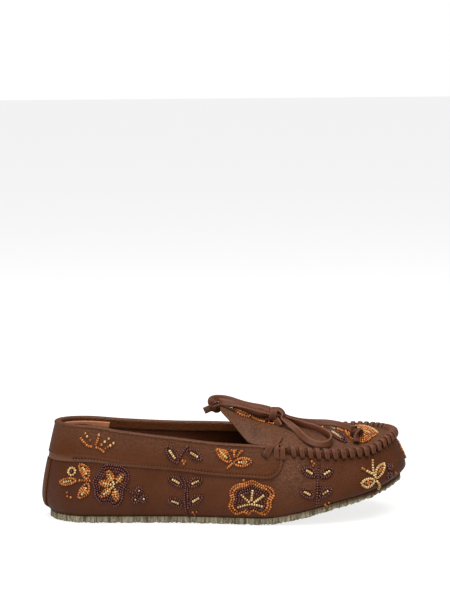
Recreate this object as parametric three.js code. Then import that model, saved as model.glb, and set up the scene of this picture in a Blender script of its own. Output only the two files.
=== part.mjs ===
// A moccasin loafer for the right foot: a leather upper drawn up to an apron with a tongue, a folded
// collar band, a leather lace tied in a bow, and a thin crepe sole that springs up at the toe.
// Millimetres. X runs from heel to toe, +Y is the inner side of the foot and Z is up from the floor.

import * as THREE from "three";
import { mergeVertices } from "three/addons/utils/BufferGeometryUtils.js";

// Driving dimensions
const LENGTH = 248; // back of the heel to the tip of the toe, over the upper
const BALL_WIDTH = 88; // over the upper at the ball of the foot
const HEEL_HEIGHT = 65; // floor to the top edge of the upper at the back
const INSTEP_HEIGHT = 63; // floor to the crown of the apron under the knot
const TOE_SPRING = 24; // rise of the tread at the tip of the toe
const SOLE_THICK = 4.6;
const LEATHER = 2; // wall of the upper and of the apron
const BAND = 1.2; // collar band
const GAP = 0.3; // between pieces that meet

// Colours and roughness
const BROWN = 0x8a5236;
const DARK_BROWN = 0x6f4029;
const LACE_BROWN = 0x7d4228;
const KHAKI = 0x9c8c5e;
const TAN = 0xb98c5c;
const LEATHER_ROUGH = 0.6;
const CREPE_ROUGH = 0.9;

// The last, a row for each section. at: share of the length. outer, inner: half-widths at the feather
// line; topOuter, topInner: half-widths at the top edge; all as shares of the ball width. swing: shift of
// the centre line to the inner side, mm. spring: share of the toe spring. highOuter, highInner: heights
// of the top edge, shares of the heel height. belly: how far the wall swells, mm. tuck: how far it turns
// in above the sole, mm.
const LAST = [
  [0.0, 0.35, 0.35, 0.284, 0.284, 0.0, 0.0, 1.0, 1.0, 2.6, 4.8],
  [0.1, 0.36, 0.36, 0.295, 0.295, 0.0, 0.0, 0.998, 0.969, 2.8, 4.4],
  [0.2, 0.37, 0.364, 0.312, 0.307, 0.0, 0.0, 0.943, 0.936, 3.0, 4.2],
  [0.35, 0.381, 0.341, 0.341, 0.324, 0.0, 0.0, 0.878, 0.904, 3.0, 4.0],
  [0.48, 0.432, 0.364, 0.375, 0.341, 0.0, 0.0, 0.826, 0.888, 3.0, 4.0],
  [0.6, 0.489, 0.432, 0.409, 0.375, 0.0, 0.0, 0.804, 0.854, 3.0, 4.0],
  [0.7, 0.511, 0.483, 0.42, 0.398, 0.5, 0.16, 0.76, 0.806, 2.8, 4.0],
  [0.8, 0.494, 0.494, 0.403, 0.409, 2.0, 0.42, 0.72, 0.8, 2.6, 4.0],
  [0.9, 0.455, 0.483, 0.369, 0.392, 4.0, 0.64, 0.714, 0.828, 2.3, 4.0],
  [1.0, 0.432, 0.477, 0.341, 0.375, 6.0, 1.0, 0.837, 0.837, 2.0, 4.0],
].map(([at, outer, inner, topOuter, topInner, swing, spring, highOuter, highInner, belly, tuck]) => ({
  at, outer, inner, topOuter, topInner, swing, spring, highOuter, highInner, belly, tuck,
}));
const TOP_BACK = 8.9; // x of the top edge at the back of the heel
const TOP_FRONT = 240.9; // x of the top edge at the tip of the toe
const SWELL_PEAK = 4 / 27; // largest value of u (1 - u)^2, the shape of the belly up the wall
const TUCK_REACH = 0.22; // share of the wall's height over which it turns in above the sole

// The round ends of the outline: share of the way around one side, share of the length, and steps
const HEEL_TURN = { way: 0.18, run: 0.13, steps: 8 };
const TOE_TURN = { way: 0.26, run: 0.2, steps: 11 };
const MIDDLE_STEPS = 16;

// Apron, a row for each section. at: share of the top edge. crown: height of its middle, a share of the
// instep height. free: 0 where its edge is sewn to the upper, 1 where it is a loose tongue, with half
// its width and the height of its edge, mm.
const APRON = [
  [0.481, 1.205, 1, 12, 75.2],
  [0.488, 1.2, 1, 15, 73.6],
  [0.515, 1.156, 1, 21.5, 67.2],
  [0.54, 1.117, 1, 27, 60.6],
  [0.565, 1.082, 1, 31, 55.0],
  [0.6, 1.036, 0, 33, 53.5],
  [0.65, 1.0, 0, 33, 53],
  [0.71, 0.935, 0, 33, 52],
  [0.78, 0.888, 0, 33, 52],
  [0.87, 0.87, 0, 30, 52],
  [0.95, 0.874, 0, 20, 53],
  [1.0, 0.878, 0, 0, 55],
].map(([at, crown, free, half, edge]) => ({ at, crown, free, half, edge }));
const SEAM_INSET = 3.9; // from the outer face of the wall to the edge of the apron
const SEAM_LIFT = 1; // edge of the apron above the top edge of the wall
const APRON_TIP = 0.985; // way around a side where the apron ends at the toe

// Raised seam round the toe: section of the top of the wall, plain and raised, out and up in mm
const SEAM_START = 0.668; // share of the top edge where the ridge begins
const SEAM_FULL = 0.682;
const RIDGE = [
  { plainOut: 0, plainUp: -2.2, out: 0, up: -2.2 },
  { plainOut: 0, plainUp: -0.9, out: 1.3, up: -0.9 },
  { plainOut: 0, plainUp: 0, out: 1.3, up: 1.2 },
  { plainOut: -0.7, plainUp: 0, out: 0.2, up: 2.6 },
  { plainOut: -1.3, plainUp: 0, out: -2.2, up: 2.6 },
  { plainOut: -2, plainUp: 0, out: -3.3, up: 1.2 },
  { plainOut: -2, plainUp: -0.9, out: -3.3, up: -0.9 },
  { plainOut: -2, plainUp: -2.2, out: -2, up: -2.2 },
];

// Collar band
const BAND_END = 0.664; // share of the top edge where it ends on each side
const BAND_DEEP = 20; // below the top edge along the quarters
const BAND_HEEL_EXTRA = 4; // deeper at the back of the heel
const BAND_HEEL_RUN = 0.14; // share of the length of that dip
const BAND_CORNER = { long: 12, high: 16 }; // half-axes of its lower front corner, a quarter ellipse
const FOLD_IN = 4; // depth of its fold inside the collar
const FOLD_ROUND = 0.6; // share of its thickness at the corners of the fold

// Heel strip
const STRIP_STEPS = 2; // half-width, in steps of the heel's turn
const STRIP_FOOT = 0.05; // its lower end, share of the height of the wall
const STRIP_HEAD = 0.57; // the last of the wall's rows below the band
const STRIP_THICK = 0.84;

// Sole and insole
const SOLE_LIP = 0.8; // sole edge outside the foot of the wall
const SOLE_ROUND = 0.9; // rounding of its lower edge
const INSOLE_THICK = 2;
const INSOLE_CLEAR = 0.6; // inside the foot of the wall

// Lace: a flat strip that leaves the band on each side, crosses the seam and goes through the apron to a bow
const LACE_WIDE = 4.6;
const LACE_THICK = 1.6;
const LACE_CLEAR = 0.7; // between the bars and the leather under them
const CORD = 3.2; // diameter of the plain tubes of the free lace
const CORD_SIDES = 8;
const BAR_OVER_SEAM = [
  { at: 0.602, share: 0.912, out: 2.9, up: 0, tilt: 8 },
  { at: 0.612, share: 0.967, out: 3, up: 0, tilt: 15 },
  { at: 0.621, share: 1, out: 3, up: 1.6, tilt: 40 },
  { at: 0.629, share: 1, out: 1.2, up: 3.6, tilt: 70 },
  { at: 0.637, share: 1, out: -1.8, up: 3.6, tilt: 90 },
];
const BAR_ON_APRON = [
  { at: 0.646, across: 0.88 },
  { at: 0.654, across: 0.76 },
];
const BOW_KNOT = { at: [158.5, -1.6, 68.6], half: [6, 5.2, 5] };
const END_KNOT_HALF = [2.9, 3.4, 3.5];
const END_KNOT_TOE = [213.5, -6, 57];
const END_KNOT_HEEL = [117.7, -2.6, 75.2];

// Routes of the free lace from the knot, chosen by hand: x, y, z
const LOOP_TOE = [
  [163.4, -5.4, 66.8], [168, -9, 63.6], [172.5, -13.4, 60.4], [176.6, -20.4, 57.2], [180.9, -25.4, 54.6],
  [185.4, -27.8, 53], [190.2, -27.4, 52.4], [194.1, -24.4, 52.8], [196, -19.2, 54.1], [195.5, -13.4, 55.6],
  [193.1, -8.2, 57], [188.6, -2, 58.4], [183.6, 1.8, 59.6], [177, 3.6, 61.2], [170.4, 2, 63.6],
  [164.7, -1.2, 66.6],
];
const LOOP_HEEL = [
  [152.2, -5, 71.4], [149, -5.6, 72.4], [145, -6, 73.6], [141, -6.2, 75], [137, -6.2, 76.4], [133, -6, 77.4],
  [129, -5.8, 78.2], [125.4, -5.2, 78.7], [122.6, -4, 78.9], [121.8, -2.2, 78.7], [123.6, -0.6, 78.2],
  [127.4, 0.2, 77.3], [132, 0.4, 75.8], [137.4, 0.4, 74], [143, 0.2, 71.8], [148, -0.2, 70.2],
  [152, -0.6, 69.2],
];
const END_TOE = [
  [164.4, 3.4, 67.2], [168, 7.6, 64.6], [173, 12.4, 62.2], [179, 15.2, 60.7], [187, 16.4, 60],
  [195, 15.8, 59.8], [202, 13, 59.2], [207.8, 8, 58.4], [211.4, 2.4, 57.6], [212.9, -2, 57.2],
];
const END_HEEL = [
  [155.2, 3.6, 72.6], [149.1, 4.4, 74.3], [144.3, 4.6, 75.3], [139.9, 4.6, 76.1], [135.8, 4.6, 77],
  [132, 4.6, 78.2], [128.4, 4.6, 79.4], [124.5, 4.6, 80.2], [120.6, 4.5, 80.6], [117, 4.2, 80.6],
  [114.5, 3.4, 80.1], [113.4, 2, 79], [113.4, 0.4, 77.6], [114.4, -1, 76.4],
];

function mix(a, b, share) {
  return a + (b - a) * share;
}

// A column of a table at a place along it, by a cubic that never overshoots its rows.
function column(table, name, at) {
  const last = table.length - 2;
  const found = table.findIndex((row) => row.at > at) - 1;
  const i = found < 0 ? (at <= table[0].at ? 0 : last) : found;
  const rise = (k) => (table[k + 1][name] - table[k][name]) / (table[k + 1].at - table[k].at);
  const slope = (k) => {
    if (k === 0 || k === last + 1) return rise(Math.min(k, last));
    const product = rise(k - 1) * rise(k);
    return product <= 0 ? 0 : (2 * product) / (rise(k - 1) + rise(k));
  };
  const span = table[i + 1].at - table[i].at;
  const u = Math.min(Math.max((at - table[i].at) / span, 0), 1);
  const bend = u * u * (3 - 2 * u);
  const leave = u * (1 - u) * (1 - u) * span * slope(i);
  const arrive = u * u * (u - 1) * span * slope(i + 1);
  return mix(table[i][name], table[i + 1][name], bend) + leave + arrive;
}

// The way around one side, 0 at the back of the heel and 1 at the tip of the toe, as a share of the
// length and the share of the half-width that the round ends leave.
function around(way) {
  const heel = Math.min(way / HEEL_TURN.way, 1) * (Math.PI / 2);
  const toe = Math.min((1 - way) / TOE_TURN.way, 1) * (Math.PI / 2);
  const middle = (way - HEEL_TURN.way) / (1 - HEEL_TURN.way - TOE_TURN.way);
  if (way < HEEL_TURN.way) return { at: HEEL_TURN.run * (1 - Math.cos(heel)), round: Math.sin(heel) };
  if (way > 1 - TOE_TURN.way) return { at: 1 - TOE_TURN.run * (1 - Math.cos(toe)), round: Math.sin(toe) };
  return { at: mix(HEEL_TURN.run, 1 - TOE_TURN.run, middle), round: 1 };
}

// The way at a share of the length between the round ends.
function wayAt(at) {
  const middle = (at - HEEL_TURN.run) / (1 - HEEL_TURN.run - TOE_TURN.run);
  return mix(HEEL_TURN.way, 1 - TOE_TURN.way, middle);
}

// Places round the shoe run from -1 (toe) along the outer side through 0 (heel) to 1 (toe again).
function split(place) {
  const turned = place > 1 ? place - 2 : place < -1 ? place + 2 : place;
  return { way: Math.abs(turned), side: turned < 0 ? -1 : 1 };
}

function plan(place, outer, inner, back, front) {
  const { way, side } = split(place);
  const { at, round } = around(way);
  const half = BALL_WIDTH * column(LAST, side < 0 ? outer : inner, at) * round;
  return new THREE.Vector2(mix(back, front, at), column(LAST, "swing", at) + side * half);
}

const foot = (place) => plan(place, "outer", "inner", 0, LENGTH);
const top = (place) => plan(place, "topOuter", "topInner", TOP_BACK, TOP_FRONT);

function outward(place) {
  const step = 0.004;
  const along = foot(place + step).sub(foot(place - step)).normalize();
  return new THREE.Vector2(-along.y, along.x);
}

// Height of the underside of the sole at a place along the shoe.
function tread(x) {
  return TOE_SPRING * column(LAST, "spring", x / LENGTH);
}

function topHeight(place) {
  const { way, side } = split(place);
  return HEEL_HEIGHT * column(LAST, side < 0 ? "highOuter" : "highInner", around(way).at);
}

// The wall of the upper: share 0 at the sole to 1 at the top edge, out from its outer face, and up.
function wall(place, share, out = 0, up = 0) {
  const { at } = around(split(place).way);
  const swell = (column(LAST, "belly", at) * share * (1 - share) ** 2) / SWELL_PEAK;
  const turnIn = column(LAST, "tuck", at) * Math.max(0, 1 - share / TUCK_REACH) ** 4;
  const flat = foot(place).lerp(top(place), share).addScaledVector(outward(place), swell - turnIn + out);
  const feather = tread(flat.x) + SOLE_THICK + GAP;
  return new THREE.Vector3(flat.x, flat.y, mix(feather, topHeight(place), share) + up);
}

function rimShare(place) {
  return around(split(place).way).at;
}

// A closed body through sections with the same number of points; a ring has no ends to cap.
function loft(sections, ring = false) {
  const count = sections[0].length;
  const points = sections.flat();
  const faces = [];
  const last = ring ? sections.length : sections.length - 1;
  for (let i = 0; i < last; i += 1) {
    const here = i * count;
    const next = ((i + 1) % sections.length) * count;
    for (let j = 0; j < count; j += 1) {
      const k = (j + 1) % count;
      faces.push([here + j, here + k, next + k], [here + j, next + k, next + j]);
    }
  }
  if (!ring) {
    capFaces(sections[0]).forEach((face) => faces.push(face.reverse()));
    const end = (sections.length - 1) * count;
    capFaces(sections.at(-1)).forEach((face) => faces.push(face.map((j) => end + j)));
  }
  return closedGeometry(points, faces);
}

// Triangles over one section, in its own order, found in the plane that it lies nearest to.
function capFaces(section) {
  const normal = new THREE.Vector3();
  section.forEach((point, j) => {
    normal.add(new THREE.Vector3().crossVectors(point, section[(j + 1) % section.length]));
  });
  if (normal.length() < 1e-3) return [];
  const turn = new THREE.Quaternion().setFromUnitVectors(normal.normalize(), new THREE.Vector3(0, 0, 1));
  const flat = section.map((point) => {
    const moved = point.clone().applyQuaternion(turn);
    return new THREE.Vector2(moved.x, moved.y);
  });
  return THREE.ShapeUtils.triangulateShape(flat, []);
}

function closedGeometry(points, faces) {
  const raw = new THREE.BufferGeometry();
  raw.setAttribute("position", new THREE.Float32BufferAttribute(points.flatMap((p) => [p.x, p.y, p.z]), 3));
  raw.setIndex(faces.flat());
  const merged = mergeVertices(raw, 1e-3);
  const index = merged.index.array;
  const kept = [];
  for (let i = 0; i < index.length; i += 3) {
    const [a, b, c] = index.subarray(i, i + 3);
    if (a !== b && b !== c && c !== a) kept.push([a, b, c]);
  }
  const corner = (k) => new THREE.Vector3().fromBufferAttribute(merged.attributes.position, k);
  const volume = kept.reduce((sum, [a, b, c]) => sum + corner(a).dot(corner(b).cross(corner(c))), 0);
  merged.setIndex(kept.flatMap(([a, b, c]) => (volume > 0 ? [a, b, c] : [a, c, b])));
  merged.computeVertexNormals();
  return merged;
}

const body = new THREE.Group(); // everything but the free lace
const bow = new THREE.Group(); // the free lace

function addPiece(group, name, geometry, color, roughness) {
  const mesh = new THREE.Mesh(geometry, new THREE.MeshStandardMaterial({ color, roughness, metalness: 0 }));
  mesh.name = name;
  group.add(mesh);
}

// Ways where the sections of the upper and of its overlays stand, so that their facets run alike.
const heelWays = Array.from({ length: HEEL_TURN.steps }, (_, i) => (HEEL_TURN.way * i) / HEEL_TURN.steps);
const middleWays = Array.from({ length: MIDDLE_STEPS }, (_, i) => {
  return mix(HEEL_TURN.way, 1 - TOE_TURN.way, i / MIDDLE_STEPS);
});
const toeWays = Array.from({ length: TOE_TURN.steps + 1 }, (_, i) => {
  return mix(1 - TOE_TURN.way, 1, i / TOE_TURN.steps);
});
const WAYS = [...heelWays, ...middleWays, wayAt(SEAM_START), wayAt(SEAM_FULL), ...toeWays];
WAYS.sort((a, b) => a - b);

// Upper: one hollow wall round the foot, with the raised toe seam as a step in it
const OUTER_SHARES = [0, 0.02, 0.05, 0.1, 0.18, 0.3, 0.44, 0.58, 0.72, 0.86];
const INNER_SHARES = [0.86, 0.58, 0.3, 0.1, 0.03, 0];
const upperPlaces = [...WAYS.toReversed().map((way) => -way), ...WAYS.slice(1, -1)];
const upperSections = upperPlaces.map((place) => {
  const raised = THREE.MathUtils.smoothstep(rimShare(place), SEAM_START, SEAM_FULL);
  const ridge = RIDGE.map(({ plainOut, plainUp, out, up }) => {
    return wall(place, 1, mix(plainOut, out, raised), mix(plainUp, up, raised));
  });
  const outside = OUTER_SHARES.map((share) => wall(place, share));
  const inside = INNER_SHARES.map((share) => wall(place, share, -LEATHER));
  return [...outside, ...ridge, ...inside];
});
addPiece(body, "upper", loft(upperSections, true), BROWN, LEATHER_ROUGH);

// Collar band: an outer skin on the quarters that folds over the top edge and down inside
function bandDepth(place) {
  const at = rimShare(place);
  const dip = Math.max(0, 1 - at / BAND_HEEL_RUN) ** 2;
  const toEnd = Math.min(((BAND_END - at) * (TOP_FRONT - TOP_BACK)) / BAND_CORNER.long, 1);
  const corner = BAND_CORNER.high * (1 - Math.sqrt(Math.max(0, 1 - (1 - toEnd) ** 2)));
  return BAND_DEEP + BAND_HEEL_EXTRA * dip - corner;
}

function bandFoot(place) {
  const height = topHeight(place) - wall(place, 0).z;
  return 1 - bandDepth(place) / height;
}

function bandSection(place) {
  const skin = [0, 0.2, 0.4, 0.6, 0.8].map((share) => mix(bandFoot(place), 1, share));
  const outer = GAP + BAND;
  const inner = -LEATHER - GAP;
  const fold = [
    [outer, -FOLD_ROUND],
    [outer * FOLD_ROUND, outer],
    [inner - BAND * FOLD_ROUND, outer],
    [inner - BAND, -FOLD_ROUND],
    [inner - BAND, -FOLD_IN],
    [inner, -FOLD_IN],
    [inner, GAP],
    [GAP, GAP],
  ];
  return [
    ...skin.map((share) => wall(place, share, outer)),
    ...fold.map(([out, up]) => wall(place, 1, out, up)),
    ...skin.toReversed().map((share) => wall(place, share, GAP)),
  ];
}

const CORNER_STEPS = 5;
const bandWays = Array.from({ length: CORNER_STEPS + 1 }, (_, i) => {
  const back = BAND_CORNER.long * (1 - Math.cos(((i / CORNER_STEPS) * Math.PI) / 2));
  return wayAt(BAND_END - back / (TOP_FRONT - TOP_BACK));
});
bandWays.push(...WAYS.filter((way) => way > 0 && way < bandWays[CORNER_STEPS]).toReversed());
const bandPlaces = [...bandWays.map((way) => -way), 0, ...bandWays.toReversed()];
addPiece(body, "collar_band", loft(bandPlaces.map(bandSection)), BROWN, LEATHER_ROUGH);

// Heel strip: a narrow cover over the back seam, from the sole up to the band
const stripWays = heelWays.slice(1, STRIP_STEPS + 1);
const stripPlaces = [...stripWays.toReversed().map((way) => -way), 0, ...stripWays];
const stripSections = stripPlaces.map((place) => {
  const head = bandFoot(place) - 2 * GAP / HEEL_HEIGHT;
  const shares = [...OUTER_SHARES.filter((share) => share >= STRIP_FOOT && share < STRIP_HEAD), head];
  const face = shares.map((share) => wall(place, share, GAP + STRIP_THICK));
  const back = shares.toReversed().map((share) => wall(place, share, GAP));
  return [...face, ...back];
});
addPiece(body, "heel_strip", loft(stripSections), DARK_BROWN, LEATHER_ROUGH);

// Apron with its tongue: sewn to the raised seam round the toe, loose behind the instep
function apronEdge(way, side) {
  const sewn = wall(side * way, 1, -SEAM_INSET, SEAM_LIFT);
  const at = around(way).at;
  const half = Math.min(column(APRON, "half", at), Math.abs(sewn.y) - GAP);
  const loose = new THREE.Vector3(sewn.x, side * half, column(APRON, "edge", at));
  return sewn.lerp(loose, column(APRON, "free", at));
}

function apronTop(way, across) {
  const outer = apronEdge(way, -1);
  const inner = apronEdge(way, 1);
  const arch = INSTEP_HEIGHT * column(APRON, "crown", around(way).at) - mix(outer.z, inner.z, 0.5);
  const point = outer.lerp(inner, (across + 1) / 2);
  point.z += arch * (1 - across * across);
  return point;
}

function apronNormal(way, across) {
  const step = 0.01;
  const over = apronTop(way, across + step).sub(apronTop(way, across - step));
  return new THREE.Vector3(0, -over.z, over.y).normalize();
}

function apronUnder(way, across) {
  return apronTop(way, across).addScaledVector(apronNormal(way, across), -LEATHER);
}

const APRON_STEPS = 30;
const ACROSS_STEPS = 12;
const ACROSS = Array.from({ length: ACROSS_STEPS + 1 }, (_, i) => mix(-1, 1, i / ACROSS_STEPS));
const tongueEnd = wayAt(APRON[0].at);
const apronSections = Array.from({ length: APRON_STEPS + 1 }, (_, i) => {
  const way = mix(tongueEnd, APRON_TIP, i / APRON_STEPS);
  const face = ACROSS.map((across) => apronTop(way, across));
  const under = ACROSS.toReversed().map((across) => apronUnder(way, across));
  return [...face, ...under];
});
addPiece(body, "apron", loft(apronSections), BROWN, LEATHER_ROUGH);

// Outsole: a thin slab on the sole's outline, flat from the heel to the ball and sprung at the toe
function edgeInside(place, inset) {
  const { at } = around(split(place).way);
  const tuck = column(LAST, "tuck", at);
  return foot(place).addScaledVector(outward(place), -tuck - inset);
}

function slab(ways, rows) {
  return loft(ways.map((way) => {
    const corners = (side) => rows.map(({ inset, up }) => {
      const flat = edgeInside(side * way, inset);
      return new THREE.Vector3(flat.x, flat.y, tread(flat.x) + up);
    });
    return [...corners(-1), ...corners(1).toReversed()];
  }));
}

const outsole = slab(WAYS, [
  { inset: SOLE_ROUND - SOLE_LIP, up: 0 },
  { inset: -SOLE_LIP, up: SOLE_ROUND },
  { inset: -SOLE_LIP, up: SOLE_THICK },
]);
addPiece(body, "outsole", outsole, KHAKI, CREPE_ROUGH);

const insole = slab(WAYS, [
  { inset: LEATHER + INSOLE_CLEAR, up: SOLE_THICK + GAP },
  { inset: LEATHER + INSOLE_CLEAR, up: SOLE_THICK + GAP + INSOLE_THICK },
]);
addPiece(body, "insole", insole, TAN, LEATHER_ROUGH);

// Lace bars: a flat strip on each side, out of the band and over the seam to a slit in the apron
function strip(stations) {
  return loft(stations.map(({ point, normal }, i) => {
    const before = stations[Math.max(i - 1, 0)].point;
    const after = stations[Math.min(i + 1, stations.length - 1)].point;
    const along = after.clone().sub(before).normalize();
    const wide = new THREE.Vector3().crossVectors(normal, along).normalize();
    const thick = new THREE.Vector3().crossVectors(along, wide);
    return [[-1, -1], [1, -1], [1, 1], [-1, 1]].map(([w, t]) => {
      const corner = point.clone().addScaledVector(wide, (w * LACE_WIDE) / 2);
      return corner.addScaledVector(thick, (t * LACE_THICK) / 2);
    });
  }));
}

function laceBar(side) {
  const overSeam = BAR_OVER_SEAM.map(({ at, share, out, up, tilt }) => {
    const place = side * wayAt(at);
    const lean = THREE.MathUtils.degToRad(tilt);
    const away = outward(place).multiplyScalar(Math.cos(lean));
    return { point: wall(place, share, out, up), normal: new THREE.Vector3(away.x, away.y, Math.sin(lean)) };
  });
  const onApron = BAR_ON_APRON.map(({ at, across }) => {
    const normal = apronNormal(wayAt(at), side * across);
    const point = apronTop(wayAt(at), side * across);
    return { point: point.addScaledVector(normal, LACE_CLEAR + LACE_THICK / 2), normal };
  });
  return strip([...overSeam, ...onApron]);
}

addPiece(body, "lace_bar_outer", laceBar(-1), LACE_BROWN, LEATHER_ROUGH);
addPiece(body, "lace_bar_inner", laceBar(1), LACE_BROWN, LEATHER_ROUGH);

// Bow: its knot, two loops and two ends as plain tubes, and the overhand knots in the ends
function knot({ at, half }) {
  const ball = new THREE.SphereGeometry(1, 12, 8);
  return ball.scale(...half).translate(...at);
}

function cord(route) {
  const path = new THREE.CatmullRomCurve3(route.map((point) => new THREE.Vector3(...point)));
  const section = new THREE.Shape(Array.from({ length: CORD_SIDES }, (_, i) => {
    const turn = (2 * Math.PI * i) / CORD_SIDES;
    return new THREE.Vector2(Math.cos(turn), Math.sin(turn)).multiplyScalar(CORD / 2);
  }));
  return new THREE.ExtrudeGeometry(section, { extrudePath: path, steps: 2 * route.length });
}

addPiece(bow, "bow_knot", knot(BOW_KNOT), LACE_BROWN, LEATHER_ROUGH);
addPiece(bow, "bow_loop_toe", cord(LOOP_TOE), LACE_BROWN, LEATHER_ROUGH);
addPiece(bow, "bow_loop_heel", cord(LOOP_HEEL), LACE_BROWN, LEATHER_ROUGH);
addPiece(bow, "lace_end_toe", cord(END_TOE), LACE_BROWN, LEATHER_ROUGH);
addPiece(bow, "lace_end_heel", cord(END_HEEL), LACE_BROWN, LEATHER_ROUGH);
addPiece(bow, "end_knot_toe", knot({ at: END_KNOT_TOE, half: END_KNOT_HALF }), LACE_BROWN, LEATHER_ROUGH);
addPiece(bow, "end_knot_heel", knot({ at: END_KNOT_HEEL, half: END_KNOT_HALF }), LACE_BROWN, LEATHER_ROUGH);

// The origin is on the floor, under the middle of the shoe
const middle = new THREE.Box3().setFromObject(body).getCenter(new THREE.Vector3());
const shoe = new THREE.Group();
shoe.add(body, bow);
shoe.position.set(-middle.x, -middle.y, 0);

export default shoe;
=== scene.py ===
import bmesh
import bpy
import numpy as np
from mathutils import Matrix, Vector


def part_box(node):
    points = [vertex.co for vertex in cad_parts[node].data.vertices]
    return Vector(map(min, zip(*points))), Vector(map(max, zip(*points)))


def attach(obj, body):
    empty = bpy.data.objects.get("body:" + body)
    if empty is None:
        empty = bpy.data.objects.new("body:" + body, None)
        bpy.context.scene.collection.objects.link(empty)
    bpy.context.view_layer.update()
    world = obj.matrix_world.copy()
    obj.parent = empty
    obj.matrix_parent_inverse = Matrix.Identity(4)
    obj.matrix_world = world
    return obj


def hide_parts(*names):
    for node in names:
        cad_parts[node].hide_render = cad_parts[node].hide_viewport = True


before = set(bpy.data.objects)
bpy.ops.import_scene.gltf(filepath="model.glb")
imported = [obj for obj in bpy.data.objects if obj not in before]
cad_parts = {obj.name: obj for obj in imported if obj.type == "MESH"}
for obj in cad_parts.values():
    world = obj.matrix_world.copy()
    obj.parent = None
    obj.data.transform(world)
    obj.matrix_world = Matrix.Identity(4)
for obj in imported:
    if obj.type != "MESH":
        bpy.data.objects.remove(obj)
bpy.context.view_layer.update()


# Upper: vamp and quarters in one wall of brown cowhide, 2 mm thick, drawn over a last by hand. It stands
# on the sole, is open underneath and at the collar, and round the toe its edge is gathered into a
# raised roll. Soft troughs and ridges stay where the wet leather was pulled.
LENGTH, BALL_WIDTH, HEEL_HEIGHT, TOE_SPRING = 248.0, 88.0, 65.0, 24.0
SOLE, HIDE, CLEAR = 4.6, 2.0, 0.3  # crepe, wall of the upper, gap between pieces that meet
TOP_BACK, TOP_FRONT = 8.9, 240.9  # the top edge at the heel and at the toe
TOP_LONG = TOP_FRONT - TOP_BACK
HEEL_WAY, HEEL_RUN = 0.18, 0.13  # round end at the heel: share of the way round a side, and of the length
TOE_WAY, TOE_RUN = 0.26, 0.2
TUCK_REACH = 0.22  # the lowest share of the wall, which turns in above the sole
# The last at shares of its length: half-widths of the foot and of the top edge as shares of the ball's
# width, swing of the middle line in mm, share of the toe spring, height of the top edge as a share of the
# heel's, belly and turn-in of the wall in mm
LAST = dict(zip(
    ("at", "foot_outer", "foot_inner", "top_outer", "top_inner", "swing", "spring",
     "high_outer", "high_inner", "belly", "tuck"),
    np.array([
        [0.0, 0.35, 0.35, 0.284, 0.284, 0.0, 0.0, 1.0, 1.0, 2.6, 4.8],
        [0.1, 0.36, 0.36, 0.295, 0.295, 0.0, 0.0, 0.998, 0.969, 2.8, 4.4],
        [0.2, 0.37, 0.364, 0.312, 0.307, 0.0, 0.0, 0.943, 0.936, 3.0, 4.2],
        [0.35, 0.381, 0.341, 0.341, 0.324, 0.0, 0.0, 0.878, 0.904, 3.0, 4.0],
        [0.48, 0.432, 0.364, 0.375, 0.341, 0.0, 0.0, 0.826, 0.888, 3.0, 4.0],
        [0.6, 0.489, 0.432, 0.409, 0.375, 0.0, 0.0, 0.804, 0.854, 3.0, 4.0],
        [0.7, 0.511, 0.483, 0.42, 0.398, 0.5, 0.16, 0.76, 0.806, 2.8, 4.0],
        [0.8, 0.494, 0.494, 0.403, 0.409, 2.0, 0.42, 0.72, 0.8, 2.6, 4.0],
        [0.9, 0.455, 0.483, 0.369, 0.392, 4.0, 0.64, 0.714, 0.828, 2.3, 4.0],
        [1.0, 0.432, 0.477, 0.341, 0.375, 6.0, 1.0, 0.837, 0.837, 2.0, 4.0],
    ]).T))
# Creases of each side (-1 outer): mm along the wall from the back seam, mm above the sole, lean in degrees,
# half-length, half-width and depth in mm (a ridge has a negative depth)
CREASES = {
    -1: [[184, 26, 74, 10, 7.0, -1.5], [173, 24, 80, 12, 3.5, 0.7], [195, 21, 68, 12, 4.5, 0.6],
         [46, 32, 10, 13, 4.5, 0.7], [92, 15, 80, 14, 9.0, 0.5], [128, 20, 12, 16, 7.0, -0.5],
         [222, 20, 60, 11, 5.0, 0.45], [20, 24, 84, 14, 6.0, 0.4]],
    1: [[176, 27, 76, 15, 6.0, -0.9], [166, 25, 82, 12, 3.5, 0.6], [190, 24, 66, 13, 4.5, 0.6],
        [60, 30, 6, 15, 5.0, 0.6], [110, 18, 78, 15, 8.0, 0.5], [24, 26, 84, 14, 6.0, 0.4]],
}
WAVES = 0.16, 0.1  # height of the hide's slow waviness
FADE_FOOT, FADE_TOP = 0.12, 0.1  # shares of the wall over which relief fades out at its foot and its top
SEAM_START, SEAM_FULL, FIRST_STITCH = 0.668, 0.682, 0.694  # shares of the top edge where the roll begins
ROLL_OUT, ROLL_UP, ROLL_RADIUS = -1.0, 0.35, 2.25  # middle of the roll from the top edge, and its radius
ROLL_ARC, ROLL_FULL = (-68, 248), 0.17  # its arc in degrees, and how much fuller it hangs below
STITCHES, STITCH_STEP = 36, 5.45
STITCH_BED = 0.12  # how far each whip stitch draws the roll in, share of its radius
FLUTE, FLUTE_REACH = 0.4, 5.0  # folds that run down from the stitches, depth and reach
HOLE_BELOW, HOLE_WIDE = 3.9, 0.85
TOE_SHORTER, TOE_SPREAD = 0.45, 0.24  # stitches are shorter at the tip of the toe, over this share of the way
EDGE_HIGH, SKIN_TOP = 2.2, 0.92  # rows of the plain edge, and the share of the wall below them
# At the vamp's bulge the grain opens and a painted sheen pales the leather.
GRAIN_SHEEN_AT, GRAIN_SHEEN_HALF = (187.0, 27.0), (15.0, 14.0)  # bulge of the vamp: along the wall and above the sole
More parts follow.
